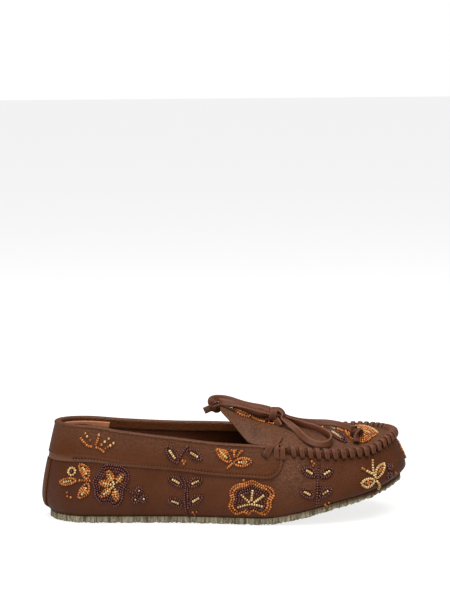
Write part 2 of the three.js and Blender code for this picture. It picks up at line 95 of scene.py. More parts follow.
# Amounts of painted shade at the wall's ends and inside it, and of painted light inside it.
ENDS_PAINTED_SHADE, GATHER_SHADE, HOLE_SHADE, INSIDE_PAINTED_SHADE, INSIDE_PAINTED_LIGHT = 0.17, 0.35, 0.9, 0.75, 0.9
TIED_AT = np.array([158.5, -1.6, 68.6])  # middle of the bow's knot, where the solids' frame is picked up
MM = 0.001
FRAME_SHIFT = np.mean(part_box("bow_knot"), axis=0) - MM * TIED_AT


def ramp(value, start, span):
    """0 up to the start, then a straight rise to 1 over the span."""
    return np.clip((value - start) / span, 0, 1)


def unit(vectors):
    """Vectors brought to length 1."""
    return vectors / np.linalg.norm(vectors, axis=-1, keepdims=True)


def run_of(line):
    """Length run along a line of points, 0 at the first."""
    return np.concatenate([[0], np.cumsum(np.linalg.norm(np.diff(line, axis=0), axis=1))])


def column(table, name, at):
    """A column of a table at shares of the length: between rows a cubic whose slopes are the harmonic
    means of the rises on both sides, so that it never overshoots its rows."""
    x, y = table["at"], table[name]
    rise = np.diff(y) / np.diff(x)
    product = rise[:-1] * rise[1:]
    total = np.where(product > 0, rise[:-1] + rise[1:], 1)
    slope = np.concatenate([rise[:1], np.where(product > 0, 2 * product / total, 0), rise[-1:]])
    i = np.clip(np.searchsorted(x, at, side="right") - 1, 0, len(x) - 2)
    span = x[i + 1] - x[i]
    u = ramp(at, x[i], span)
    bent = y[i] + (y[i + 1] - y[i]) * u * u * (3 - 2 * u)
    return bent + span * (u * (1 - u) ** 2 * slope[i] - u * u * (1 - u) * slope[i + 1])


def around(place):
    """Share of the length, share of the half-width and side at a place, which runs from -1 at the toe
    along the outer side to 0 at the heel and on to 1: a straight run between two quarter ellipses."""
    turned = (np.asarray(place, float) + 1) % 2 - 1
    way = np.abs(turned)
    heel, toe = ramp(way, 0, HEEL_WAY) * np.pi / 2, ramp(1 - way, 0, TOE_WAY) * np.pi / 2
    middle = ramp(way, HEEL_WAY, 1 - HEEL_WAY - TOE_WAY)
    at = HEEL_RUN * (1 - np.cos(heel)) + middle * (1 - HEEL_RUN - TOE_RUN) + TOE_RUN * np.cos(toe)
    return at, np.sin(heel) * np.sin(toe), np.where(turned < 0, -1.0, 1.0)


def way_of(place):
    """How far round its side a place is, from 0 at the heel to 1 at the toe."""
    return np.abs((np.asarray(place, float) + 1) % 2 - 1)


def way_at(at):
    """The way round a side at a share of the length between the round ends: the straight run, inverted."""
    return HEEL_WAY + (at - HEEL_RUN) / (1 - HEEL_RUN - TOE_RUN) * (1 - HEEL_WAY - TOE_WAY)


def of_side(name, at, side):
    """A measure of the last that differs between the outer and the inner side."""
    return np.where(side < 0, column(LAST, name + "_outer", at), column(LAST, name + "_inner", at))


def outline(place, edge, back, front):
    """Plan outline: x from back to front with the share of the length, y the swing of the middle line
    plus the half-width of that side."""
    at, rounded, side = around(place)
    half = BALL_WIDTH * of_side(edge, at, side) * rounded
    return np.stack([back + (front - back) * at, column(LAST, "swing", at) + side * half], -1)


def foot_line(place):
    """Outline of the foot of the wall."""
    return outline(place, "foot", 0.0, LENGTH)


def outward(place):
    """Plan normal of the foot's outline, from a short chord across the place."""
    chord = 0.004
    along = unit(foot_line(place + chord) - foot_line(place - chord))
    return np.stack([-along[..., 1], along[..., 0]], -1)


def tread(x):
    """Height of the underside of the sole: flat to the ball, then the toe spring."""
    return TOE_SPRING * column(LAST, "spring", x / LENGTH)


def top_height(place):
    """Height of the top edge on its side of the shoe."""
    at, _, side = around(place)
    return HEEL_HEIGHT * of_side("high", at, side)


def wall(place, share, out=0.0, up=0.0):
    """Smooth wall: the plan goes from the foot's outline to the top edge's with the share u of the height,
    moved out along the normal by the belly, 27/4 u (1 - u)^2, less the turn-in above the sole."""
    place, share, out, up = np.broadcast_arrays(*(np.asarray(v, float) for v in (place, share, out, up)))
    at, _, _ = around(place)
    swell = column(LAST, "belly", at) * share * (1 - share) ** 2 * 27 / 4
    turn_in = column(LAST, "tuck", at) * np.clip(1 - share / TUCK_REACH, 0, None) ** 4
    foot, top = foot_line(place), outline(place, "top", TOP_BACK, TOP_FRONT)
    flat = foot + (top - foot) * share[..., None] + outward(place) * (swell - turn_in + out)[..., None]
    feather = tread(flat[..., 0]) + SOLE + CLEAR
    return np.concatenate([flat, (feather + (top_height(place) - feather) * share + up)[..., None]], -1)


ARC_WAYS = np.linspace(0, 1, 801)
ARC = {side: run_of(wall(side * ARC_WAYS, 0.5)[:, :2]) for side in (-1, 1)}


def along_wall(place):
    """mm along the wall from the back seam, measured half way up."""
    way = way_of(place)
    return np.where(around(place)[2] < 0, np.interp(way, ARC_WAYS, ARC[-1]), np.interp(way, ARC_WAYS, ARC[1]))


def rise(place):
    """Height of the wall above the sole at a place."""
    return top_height(place) - wall(place, 0.0)[..., 2]


def folded(folds, along, up):
    """Relief of folds: each its depth times a bell across it and a flatter bell along it."""
    relief = np.zeros(np.shape(along))
    for middle, high, lean, half_length, half_width, depth in folds:
        cos, sin = np.cos(np.radians(lean)), np.sin(np.radians(lean))
        run = (along - middle) * cos + (up - high) * sin
        over = (up - high) * cos - (along - middle) * sin
        relief = relief - depth * np.exp(-(over / half_width) ** 2 - (run / half_length) ** 4)
    return relief


def pulled(place, share):
    """Relief of the leather: the creases of its side over a slow waviness of a few sines, which fades out
    towards the sole and the top edge."""
    along, height, side = np.broadcast_arrays(along_wall(place), share * rise(place), around(place)[2])
    relief = WAVES[0] * np.sin(along / 13 + 1.7 * side) * np.sin(height / 9 + along / 31)
    relief = relief + WAVES[1] * np.sin(along / 6.1 + height / 7 + side)
    creases = np.where(side < 0, folded(CREASES[-1], along, height), folded(CREASES[1], along, height))
    return (relief + creases) * ramp(share, 0, FADE_FOOT) * ramp(1 - share, 0, FADE_TOP)


def skin(place, share, out=0.0, up=0.0):
    """The wall with its creases."""
    return wall(place, share, out + pulled(place, share), up)


def seam_count(place):
    """Whip stitches from the inner start of the seam, a whole number at each stitch."""
    before_toe = (np.asarray(place, float) % 2) - 1
    reach = 1 - way_at(FIRST_STITCH)
    return (before_toe + reach) / (2 * reach) * (STITCHES - 1)


def stitch_reach(place):
    """How far down the wall a whip stitch begins, as a share of that at the sides: less round the toe, with
    a bell over the way that is left to its tip."""
    return 1 - TOE_SHORTER * np.exp(-((1 - way_of(place)) / TOE_SPREAD) ** 2)


def make_piece(name, points, material, ring=False, weld=False, **masks):
    """A piece from grids of points shaped (bodies, stations, round the section, 3): quads join each
    station to the next and go round the closed section. A ring's stations close up, other ends get one
    face. The sign of the enclosed volume turns the faces outwards, and each mask is a vertex attribute."""
    points = points.reshape(-1, *points.shape[-3:])
    index = np.arange(points[..., 0].size).reshape(points.shape[:3])
    here = index if ring else index[:, :-1]
    after = np.roll(index, -1, 1) if ring else index[:, 1:]
    quads = np.stack([here, np.roll(here, -1, 2), np.roll(after, -1, 2), after], -1).reshape(-1, 4)
    ends = [] if ring else [*index[:, 0, ::-1].tolist(), *index[:, -1].tolist()]
    flat = points.reshape(-1, 3)
    a, b, c, d = (flat[quads[:, k]] - flat.mean(0) for k in range(4))
    volume = np.sum(a * (np.cross(b, c) + np.cross(c, d)))
    faces = quads.tolist() + ends
    if volume < 0:
        faces = [face[::-1] for face in faces]
    mesh = bpy.data.meshes.new(name)
    mesh.from_pydata((MM * flat + FRAME_SHIFT).tolist(), [], faces)
    for label, values in masks.items():
        data = np.broadcast_to(values, index.shape).astype(np.float32).ravel()
        mesh.attributes.new(label, "FLOAT", "POINT").data.foreach_set("value", data)
    if weld:
        shell = bmesh.new()
        shell.from_mesh(mesh)
        bmesh.ops.remove_doubles(shell, verts=shell.verts, dist=1e-6)
        shell.to_mesh(mesh)
        shell.free()
    mesh.shade_smooth()
    mesh.materials.append(material)
    piece = bpy.data.objects.new(name, mesh)
    bpy.context.collection.objects.link(piece)
    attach(piece, "root")
    return piece


def set_sockets(tree, node, sockets):
    """Inputs of a node, each a plain value or another node's output."""
    for name, value in sockets.items():
        if isinstance(value, bpy.types.NodeSocket):
            tree.links.new(value, node.inputs[name])
        else:
            node.inputs[name].default_value = value


def add_node(tree, kind, sockets=None, **settings):
    """A shader node: settings are its own choices, sockets its inputs."""
    node = tree.nodes.new("ShaderNode" + kind)
    for name, value in settings.items():
        setattr(node, name, value)
    set_sockets(tree, node, sockets or {})
    return node


def add_mix(tree, factor, first, second):
    """The colour between two."""
    return add_node(tree, "Mix", {0: factor, 6: first, 7: second}, data_type="RGBA").outputs[2]


def add_range(tree, value, low, high, to_low, to_high):
    """A value moved from one range to another, held at its ends."""
    sockets = {"Value": value, "From Min": low, "From Max": high, "To Min": to_low, "To Max": to_high}
    return add_node(tree, "MapRange", sockets).outputs["Result"]


def add_math(tree, operation, *values):
    """The result of a sum on values and outputs."""
    return add_node(tree, "Math", dict(enumerate(values)), operation=operation).outputs[0]


def add_noise(tree, vector, scale, detail, roughness=0.5):
    """Cloudy noise between 0 and 1."""
    sockets = {"Vector": vector, "Scale": scale, "Detail": detail, "Roughness": roughness}
    return add_node(tree, "TexNoise", sockets).outputs["Fac"]


def add_bump(tree, height, strength, distance):
    """The normal of a relief."""
    sockets = {"Strength": strength, "Distance": distance, "Height": height}
    return add_node(tree, "Bump", sockets).outputs["Normal"]


def add_mask(tree, label):
    """A mask of the piece, from its vertex attribute."""
    return add_node(tree, "Attribute", attribute_name=label).outputs["Fac"]


def object_spot(tree):
    """Object coordinates, metres in the solids' frame."""
    return add_node(tree, "TexCoord").outputs["Object"]


def make_group(name, inputs, outputs):
    """An empty node group with named sockets, and its own input and output nodes."""
    group = bpy.data.node_groups.new(name, "ShaderNodeTree")
    for way, labels in (("INPUT", inputs), ("OUTPUT", outputs)):
        for label, kind in labels.items():
            group.interface.new_socket(label, in_out=way, socket_type="NodeSocket" + kind)
    return group, group.nodes.new("NodeGroupInput").outputs, group.nodes.new("NodeGroupOutput")


def make_material(name):
    """A new material, its node tree and its shader."""
    material = bpy.data.materials.new(name)
    material.use_nodes = True
    return material, material.node_tree, material.node_tree.nodes["Principled BSDF"]


# Grain of the hide: cloudy tone over some centimetres, pebbles under a millimetre and fine wrinkles.
CLOUD_SCALE, WRINKLE_SCALE = 55, 420
PIT_FROM, PIT_TO, PIT_DEEP, GRAIN_DEEP = 0.28, 0.7, -0.7, 0.0003  # the last in metres
# The darkest brown, towards which the shade mask darkens the hide: painted shade, and also stains.
PORE, SHADE_AND_STAIN_DARK = (0.03, 0.01, 0.005, 1), (0.01, 0.0035, 0.002, 1)
hide_grain, given, result = make_group(
    "hide_grain",
    dict(Vector="Vector", Deep="Color", Pale="Color", CutAndLight="Color",
         Shade="Float", Edge="Float", Pebble="Float", GrainAndSheen="Float"),
    dict(Colour="Color", Roughness="Float", Height="Float"),
)
cloud = add_noise(hide_grain, given["Vector"], CLOUD_SCALE, 5)
wrinkle = add_noise(hide_grain, given["Vector"], WRINKLE_SCALE, 4)
pebbles = add_node(hide_grain, "TexVoronoi", {"Vector": given["Vector"], "Scale": given["Pebble"]})
tone = add_range(hide_grain, cloud, 0.3, 0.7, 0, 1)
pit = add_range(hide_grain, pebbles.outputs["Distance"], PIT_FROM, PIT_TO, 0, 1)
open_pore, open_tone, open_relief = (
    add_range(hide_grain, given["GrainAndSheen"], 0, 1, *ends) for ends in ((0.15, 0.5), (0, 0.6), (1, 3)))
# Painted sheen: the mask of open grain and sheen pales the tone towards the cut colour. The edge mask then
# pales cut edges, and gives painted light inside the upper.
lit = add_mix(hide_grain, open_tone, add_mix(hide_grain, tone, given["Deep"], given["Pale"]), given["CutAndLight"])
pitted = add_mix(hide_grain, add_math(hide_grain, "MULTIPLY", pit, open_pore), lit, PORE)
edged = add_mix(hide_grain, given["Edge"], pitted, given["CutAndLight"])
grained = add_math(hide_grain, "MULTIPLY_ADD", pit, PIT_DEEP, wrinkle)
set_sockets(hide_grain, result, {
    "Colour": add_mix(hide_grain, given["Shade"], edged, SHADE_AND_STAIN_DARK),
    "Roughness": add_range(hide_grain, tone, 0, 1, 0.58, 0.48),
    "Height": add_math(hide_grain, "MULTIPLY", grained, open_relief),
})


def leather(name, deep, pale, cut, pebble=640.0, relief=0.5):
    """Leather: the grain group over Object coordinates, darker where the shade mask is set, pale on cut
    edges and where the edge mask paints light, and coarser with a painted sheen where the mask of open grain
    and sheen is set, with its relief as a bump and a thin soft finish."""
    material, tree, shader = make_material(name)
    grain = add_node(tree, "Group", {
        "Vector": object_spot(tree), "Deep": deep, "Pale": pale, "CutAndLight": cut, "Pebble": pebble,
        "Shade": add_mask(tree, "shade"), "Edge": add_mask(tree, "edge"), "GrainAndSheen": add_mask(tree, "open"),
    }, node_tree=hide_grain).outputs
    set_sockets(tree, shader, {
        "Base Color": grain["Colour"], "Roughness": grain["Roughness"], "Specular IOR Level": 0.16,
        "Coat Weight": 0.06, "Coat Roughness": 0.32,
        "Normal": add_bump(tree, grain["Height"], relief, GRAIN_DEEP),
    })
    return material


# The wall's section: up the outside, over the plain edge or the roll, and down the inside.
UPPER_STATIONS, OUTSIDE_ROWS, ROLL_ROWS, INSIDE_ROWS = 900, 34, 23, 20
place = np.linspace(-1, 1, UPPER_STATIONS, endpoint=False)[:, None]
at, _, _ = around(place)
raised = ramp(at, SEAM_START, SEAM_FULL - SEAM_START)
raised = raised * raised * (3 - 2 * raised)
count = seam_count(place)
drawn = np.cos(2 * np.pi * count) * raised  # 1 at a stitch, -1 half way to the next
turn = np.radians(np.linspace(*ROLL_ARC, ROLL_ROWS))[None, :]
radius = ROLL_RADIUS * (1 + ROLL_FULL * np.clip(-np.sin(turn), 0, None) ** 2) * (1 - STITCH_BED * drawn)
corners = np.cumsum([0, EDGE_HIGH, HIDE, EDGE_HIGH])
plain_step = np.linspace(0, corners[-1], ROLL_ROWS)
plain_out = np.interp(plain_step, corners, [0, 0, -HIDE, -HIDE])
plain_up = np.interp(plain_step, corners, [-EDGE_HIGH, 0, 0, -EDGE_HIGH])
roll = wall(
    place, 1.0,
    plain_out + (ROLL_OUT + radius * np.cos(turn) - plain_out) * raised,
    plain_up + (ROLL_UP + radius * np.sin(turn) - plain_up) * raised,
)
climb = np.linspace(0, SKIN_TOP, OUTSIDE_ROWS)[None, :]
below = (1 - climb) * rise(place)
outside = skin(place, climb, -FLUTE * drawn * np.exp(-below / FLUTE_REACH))
inside = skin(place, np.linspace(SKIN_TOP, 0, INSIDE_ROWS)[None, :], -HIDE)
to_stitch, to_row = (count - np.round(count)) * STITCH_STEP, below - HOLE_BELOW * stitch_reach(place)
hole = np.exp(-(to_stitch / HOLE_WIDE) ** 2 - (to_row / HOLE_WIDE) ** 2) * raised
# Painted shade darkens the outside towards the toe and the heel, where less light falls. Where the vamp
# bulges beside the band the grain opens under a painted sheen. Inside, painted light pales the wall at the
# heel and painted shade darkens it towards the toe.
ends_shade = ENDS_PAINTED_SHADE * ramp(np.abs(2 * at - 1), 0.3, 0.5)
aside, above = along_wall(place) - GRAIN_SHEEN_AT[0], climb * rise(place) - GRAIN_SHEEN_AT[1]
bulge_grain_and_sheen = np.exp(-(aside / GRAIN_SHEEN_HALF[0]) ** 2 - (above / GRAIN_SHEEN_HALF[1]) ** 2)
on_roll, on_inside = np.zeros((UPPER_STATIONS, ROLL_ROWS)), np.zeros((UPPER_STATIONS, INSIDE_ROWS))
BROWN_DEEP, BROWN_PALE = (0.096, 0.0245, 0.0052, 1), (0.12, 0.033, 0.0085, 1)
# Pale brown of cut edges, also used as the colour of painted light and painted sheen.
BROWN_CUT_AND_LIGHT = (0.2, 0.085, 0.042, 1)
upper = make_piece(
    "upper_leather_wall", np.concatenate([outside, roll, inside], 1),
    leather("brown_hide", BROWN_DEEP, BROWN_PALE, BROWN_CUT_AND_LIGHT), ring=True,
    shade=np.concatenate([np.maximum(HOLE_SHADE * hole, ends_shade), on_roll + GATHER_SHADE * raised,
                          on_inside + np.clip(4 * at - 1.5, 0, INSIDE_PAINTED_SHADE)], 1),
    edge=np.concatenate([0 * hole, on_roll, on_inside + np.clip(1.9 - 4.4 * at, 0, INSIDE_PAINTED_LIGHT)], 1),
    open=np.concatenate([bulge_grain_and_sheen, on_roll, on_inside], 1),
)
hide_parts("upper")


# Apron with its tongue: a second piece of the same hide, whose edge is sewn into the raised roll round the
# toe. Behind the instep it is free, arches over the foot and ends as a loose tongue with a cut edge, and
# the lace bars press a soft trough across it.
INSTEP = 63.0  # floor to the crown under the knot
SEAM_INSET, SEAM_LIFT, APRON_TIP = 3.9, 1.0, 0.985
# at: share of the top edge; crown: height of the middle, share of the instep; free: 1 where the edge is
# loose, with half the width and the height of that edge in mm
APRON = dict(zip(("at", "crown", "free", "half", "edge"), np.array([
    [0.481, 1.205, 1, 12, 75.2], [0.488, 1.2, 1, 15, 73.6], [0.515, 1.156, 1, 21.5, 67.2],
    [0.54, 1.117, 1, 27, 60.6], [0.565, 1.082, 1, 31, 55], [0.6, 1.036, 0, 33, 53.5],
    [0.65, 1.0, 0, 33, 53], [0.71, 0.935, 0, 33, 52], [0.78, 0.888, 0, 33, 52],
    [0.87, 0.87, 0, 30, 52], [0.95, 0.874, 0, 20, 53], [1.0, 0.878, 0, 0, 55],
]).T))
# Folds of the apron: x, y, turn in degrees from the length, half-length, half-width and depth in mm
APRON_FOLDS = [
    [160, -20, 100, 13, 4.0, 0.7], [160, 20, 80, 13, 4.0, 0.7], [148, -15, 25, 14, 6.0, -0.9],
    [146, 17, -25, 14, 6.0, -0.9], [172, -17, 70, 13, 5.0, -0.7], [172, 16, 110, 13, 5.0, -0.7],
    [182, -8, 62, 14, 5.0, 0.5], [184, 12, 118, 14, 5.0, 0.5], [138, -9, 12, 12, 4.0, 0.5],
    [206, 6, 90, 18, 8.0, -0.5],
]
APRON_WAVES = 0.12, 0.1  # height of its slow waviness
EDGE_ROUND = 0.9  # rounding of the cut edge
TOP_GIVE = 0.4  # share of the rounding that is taken from the upper face, the rest from the under one


def quarter_round(near):
    """Height of a quarter circle, sqrt(1 - (1 - n)^2), over the share n of its radius from the cut edge."""
    return np.sqrt(np.clip(1 - (1 - near) ** 2, 0, 1))


def apron_edge(way, side):
    """Edge of the apron: sewn inside the roll, or moved over by the free share to the loose edge."""
    sewn = wall(side * way, 1.0, -SEAM_INSET, SEAM_LIFT)
    at, _, _ = around(way)
    half = np.minimum(column(APRON, "half", at), np.abs(sewn[..., 1]) - CLEAR)
    loose = np.stack([sewn[..., 0], side * half, column(APRON, "edge", at)], -1)
    return sewn + (loose - sewn) * column(APRON, "free", at)[..., None]


def apron_face(way, across):
    """Top of the apron: a straight line between its edges, raised by a parabola to the crown, with the
    relief of folds and waves, which fades out at the edges."""
    way, across = np.broadcast_arrays(np.asarray(way, float), np.asarray(across, float))
    outer, inner = apron_edge(way, -1.0), apron_edge(way, 1.0)
    arch = INSTEP * column(APRON, "crown", around(way)[0]) - (outer[..., 2] + inner[..., 2]) / 2
    face = outer + (inner - outer) * ((across + 1) / 2)[..., None]
    face[..., 2] += arch * (1 - across ** 2)
    x, y = face[..., 0], face[..., 1]
    relief = APRON_WAVES[0] * np.sin(x / 5 + y / 9) + APRON_WAVES[1] * np.sin(y / 4.3 - x / 13)
    face[..., 2] += (relief + folded(APRON_FOLDS, x, y)) * (1 - np.abs(across) ** 6)
    return face


def apron_normal(way, across):
    """Normal of the apron within its section, from a short chord across it."""
    chord = 0.01
    over = apron_face(way, across + chord) - apron_face(way, across - chord)
    return unit(np.stack([np.zeros_like(over[..., 0]), -over[..., 2], over[..., 1]], -1))


APRON_STATIONS, APRON_ROWS = 190, 72
RUBBED_AT, RUBBED_HALF, RUBBED = (144.5, -23.0), 5.0, 0.3  # a rubbed dark patch on the flank of the tongue
APRON_CUT, FLESH_SHADE, APRON_GRAIN_AND_SHEEN = 0.55, 0.2, 0.85  # masks: cut edge, under face, upper face
way = np.linspace(way_at(APRON["at"][0]), APRON_TIP, APRON_STATIONS)[:, None]
across = np.sin(np.linspace(-np.pi / 2, np.pi / 2, APRON_ROWS))[None, :]
half_width = np.linalg.norm(apron_edge(way, 1.0) - apron_edge(way, -1.0), axis=-1) / 2
from_edge = np.minimum((1 - np.abs(across)) * half_width, EDGE_ROUND) / EDGE_ROUND
from_end = np.minimum((way - way[0]) * LENGTH, EDGE_ROUND) / EDGE_ROUND
thick = HIDE * quarter_round(from_edge * from_end)
face, normal = apron_face(way, across), apron_normal(way, across)
under = face - normal * (TOP_GIVE * HIDE + (1 - TOP_GIVE) * thick)[..., None]
face = face - normal * (TOP_GIVE * (HIDE - thick))[..., None]
cut_edge = np.clip(1.15 - 1.3 * from_edge * from_end, 0, 1) * (column(APRON, "free", around(way)[0]) > 0.3)
to_rub = np.linalg.norm(face[..., :2] - RUBBED_AT, axis=-1)
rubbed = np.exp(-(to_rub / RUBBED_HALF) ** 2)
# The apron's upper face has a coarser grain with a painted sheen over all of it.
apron = make_piece(
    "apron_with_tongue", np.concatenate([face, under[:, ::-1]], 1),
    leather("apron_hide", (0.082, 0.0215, 0.0055, 1), (0.106, 0.03, 0.009, 1), BROWN_CUT_AND_LIGHT), weld=True,
    edge=APRON_CUT * np.concatenate([cut_edge, cut_edge[:, ::-1]], 1),
    shade=np.concatenate([RUBBED * rubbed, 0 * cut_edge + FLESH_SHADE], 1),
    open=np.concatenate([0 * cut_edge + APRON_GRAIN_AND_SHEEN, 0 * cut_edge], 1),
)
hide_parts("apron")


# Whip stitches: one flat strip of the hide, cut 3.2 mm wide, that comes out of a hole in the wall, goes
# over the gathered roll into the apron and so round the toe. A doubled loop starts it at each end of the
# collar band.
WHIP_WIDE, WHIP_THICK, WHIP_LEAN = 3.2, 1.4, 1.8  # lean: how far a stitch runs along the seam on its way over
WHIP_SWAY = 0.25  # how far the stitches lie unevenly
LACE_WIDE, LACE_THICK, LACE_SIDES = 4.6, 1.6, 14  # the broader lace of the bars and the bow
STRAND_STEPS, STRAND_SIDES = 24, 10
MM_PER_PLACE = 272.0  # length of the seam in mm for a whole turn round one side
# Way of one stitch in section, from its hole in the wall over the roll: out and up from the top edge
STRAND_WAY = np.array([
    [-0.6, -3.9], [0.7, -3.3], [1.45, -2.2], [1.85, -0.9], [1.95, 0.4], [1.35, 2.2], [0.0, 3.15], [-1.6, 3.2],
    [-3.0, 2.45], [-3.8, 0.9], [-3.7, -0.6], [-2.6, -1.6],
])
# Start loop: share of the top edge of each strand, and its way: share of the wall, out, up; then its turn on
# the apron: share of the top edge and of the half-width; and how its face leans back, in degrees
LOOP_AT, LOOP_WIDE, LOOP_THICK, LOOP_LIFT = (0.6455, 0.6635), 3.1, 1.3, 0.8
LOOP_WAY = np.array([
    [0.862, 0.6, 0], [0.885, 2.0, 0], [0.94, 2.3, 0], [1, 2.2, 0.2], [1, 0.9, 2.0], [1, -1.6, 2.6]]).T
LOOP_ON_APRON = np.array([[0.648, 0.955], [0.6545, 0.93], [0.661, 0.955]]).T
LOOP_LEAN = [10, 10, 20, 60, 85, 90, 85, 60, 20, 10, 10]
LACE_DEEP, LACE_PALE = (0.106, 0.033, 0.0135, 1), (0.134, 0.0445, 0.0205, 1)
LACE_CUT = (0.26, 0.105, 0.058, 1)


def strip_section(wide, thick, sides):
    """Section of a cut strip: a superellipse, flat on both faces with soft corners; across and height."""
    turn = 2 * np.pi * (np.arange(sides) + 0.5) / sides
    cos, sin = np.cos(turn), np.sin(turn)
    return wide / 2 * np.sign(cos) * np.abs(cos) ** 0.55, thick / 2 * np.sign(sin) * np.abs(sin) ** 0.75


def pick(where, run, line):
    """Points of a line at given runs along it, each coordinate read in straight steps."""
    return np.stack([np.interp(where, run, line[:, k]) for k in range(line.shape[1])], -1)


def smooth_line(points, steps):
    """A curve through points at even steps of its length: a cubic between each two, with the tangents of
    a centripetal Catmull-Rom spline."""
    gap = np.sqrt(np.linalg.norm(np.diff(points, axis=0), axis=1))
    knot = np.concatenate([[0], np.cumsum(gap)])
    chord = np.diff(points, axis=0) / gap[:, None]
    wide = (points[2:] - points[:-2]) / (gap[1:] + gap[:-1])[:, None]
    slope = np.concatenate([chord[:1], chord[:-1] - wide + chord[1:], chord[-1:]])
    t = np.linspace(0, knot[-1], 40 * len(points))
    i = np.clip(np.searchsorted(knot, t, side="right") - 1, 0, len(gap) - 1)
    u, span = ((t - knot[i]) / gap[i])[:, None], gap[i][:, None]
    line = (points[i] * (1 + 2 * u) * (1 - u) ** 2 + points[i + 1] * u * u * (3 - 2 * u)
            + span * (slope[i] * u * (1 - u) ** 2 - slope[i + 1] * u * u * (1 - u)))
    run = run_of(line)
    return pick(np.linspace(0, run[-1], steps), run, line)


def lace(points, facing, steps, wide=LACE_WIDE, thick=LACE_THICK, curl=0.0):
    """A flat strip along a curve through points: its broad face looks along facing, made square to the
    curve, and its section is a soft-cornered rectangle that may curl at its edges. Gives the grid, the
    mask of its cut edges and the middle line."""
    line = smooth_line(np.asarray(points, float), steps)
    facing = np.asarray(facing, float)
    look = pick(np.linspace(0, 1, steps), np.linspace(0, 1, len(facing)), facing)
    ahead = unit(np.gradient(line, axis=0))
    across = unit(np.cross(look, ahead))
    look = np.cross(ahead, across)
    w, h = strip_section(wide, thick, LACE_SIDES)
    to_side = w / (wide / 2)
    h = h + curl * to_side ** 2
    grid = line[:, None] + across[:, None] * w[None, :, None] + look[:, None] * h[None, :, None]
    return grid, 0.8 * np.abs(to_side) ** 4 * np.ones((steps, 1)), line


reach = 1 - way_at(FIRST_STITCH)
stitch_place = (1 + np.linspace(-reach, reach, STITCHES))[:, None, None]
section_across, section_high = strip_section(WHIP_WIDE, WHIP_THICK, STRAND_SIDES)
way = smooth_line(STRAND_WAY, STRAND_STEPS)
ahead = unit(np.gradient(way, axis=0))
over = np.linspace(0, 1, STRAND_STEPS)[None, :, None]
dip = ramp(np.minimum(over, 1 - over), 0, 0.1)  # 0 where an end goes into its hole
sway = WHIP_SWAY * np.sin(2.4 * np.arange(STITCHES))[:, None, None]
high = section_high * (0.55 + 0.45 * dip)
out = way[:, 0, None] + ahead[:, 1, None] * high
up = way[:, 1, None] - ahead[:, 0, None] * high
taper = (0.65 + 0.35 * dip) * (0.6 + 0.4 * np.sin(np.pi / 2 * ramp(over, 0, 0.3)))
lean = WHIP_LEAN * (over - 0.35)
strand_place = stitch_place + (sway * over + lean + section_across * taper) / MM_PER_PLACE
strand_share = 1 + stitch_reach(stitch_place) * np.minimum(up, 0) / rise(stitch_place)
strands = wall(strand_place, strand_share, out, np.maximum(up, 0))
lace_hide = leather("lace_strip", LACE_DEEP, LACE_PALE, LACE_CUT, pebble=1500.0, relief=0.25)
whip = make_piece(
    "whip_stitches", strands, lace_hide,
    edge=0.75 * np.abs(section_across / (WHIP_WIDE / 2)) ** 4, shade=0.85 * (1 - dip))


def start_loop(side):
    """The loop at one end of the band: up one strand, over the edge, a turn on the apron and back down."""
    first, second = (wall(side * way_at(at), *LOOP_WAY) for at in LOOP_AT)
    turn = way_at(LOOP_ON_APRON[0]), side * LOOP_ON_APRON[1]
    points = np.concatenate([first, apron_face(*turn) + LOOP_LIFT * apron_normal(*turn), second[::-1]])
    away = np.append(outward(side * way_at(np.mean(LOOP_AT))), 0.0)
    lean = np.radians(LOOP_LEAN)[:, None]
    facing = away * np.cos(lean) + np.array([0, 0, 1]) * np.sin(lean)
    return lace(points, facing, 90, wide=LOOP_WIDE, thick=LOOP_THICK)


for side, name in ((-1, "start_loop_outer"), (1, "start_loop_inner")):
    grid, edge, _ = start_loop(side)
    loop = make_piece(name, grid, lace_hide, edge=edge)


# Collar band: an overlay of thinner leather round the quarters. It folds over the topline and down inside,
# and one row of tonal thread holds its lower edge and its rounded front corners.
BAND_HIDE, BAND_END, BAND_DEEP = 1.2, 0.664, 20.0
CORNER_LONG, CORNER_HIGH = 12.0, 16.0  # half-axes of its front corner, a quarter ellipse
BAND_DIP, BAND_DIP_RUN = 3.7, 0.4  # deeper at the back of the heel, over this share of the length
# A dark patch painted on the band over that slit stands for the shade inside it.
SLIT_AT, SLIT_UP = 0.6105, 0.885  # where the lace comes out: share of the top edge and of the wall
SLIT_LONG, SLIT_WIDE = 3.2, 1.2  # half sizes of that slit, which lies aslant
FOLD_MIDDLE, FOLD_HALF = (-1.0, -0.6), (2.5, 2.1)  # the fold's section: out and up from the top edge
FOLD_IN, PADDED = 5.4, 13.0  # how far it folds down inside, and how far the padded collar rounds its top
# Inside: down the face of the fold, round its cut edge and up again to the top edge, out and up
TUCK = np.array([[-3.5, -0.6], [-3.5, -2.2], [-3.5, 1.3 - FOLD_IN], [-3.5, -FOLD_IN],
                 [-2.3, -FOLD_IN], [-2.3, -2.0], [-2.3, 0.3], [0.3, 0.3]])[None]
TUCK_CUT = np.array([0, 0, 0.1, 0.9, 0.9, 0, 0, 0])
STITCH_ROW, STITCH_PITCH = 2.3, 2.15  # row above the edge, and its step
STITCH_LONG, THREAD = 1.15, 0.75  # length and thickness of a stitch
GROOVE_WIDE, GROOVE_DEEP = 0.6, 0.14  # the row draws the leather in
ROW_FROM = 34.0  # the visible row begins this far round from the back seam
BAND_STATIONS, FINE_ROWS, FINE_DEEP, COARSE_ROWS = 560, 20, 4.4, 15


def band_deep(place):
    """Depth of the band below the top edge: a dip at the heel, and a quarter ellipse at each front end."""
    at, _, _ = around(place)
    dip = BAND_DIP * np.clip(1 - at / BAND_DIP_RUN, 0, None) ** 1.5
    to_end = ramp((BAND_END - at) * TOP_LONG, 0, CORNER_LONG)
    return BAND_DEEP + dip - CORNER_HIGH * (1 - quarter_round(to_end))


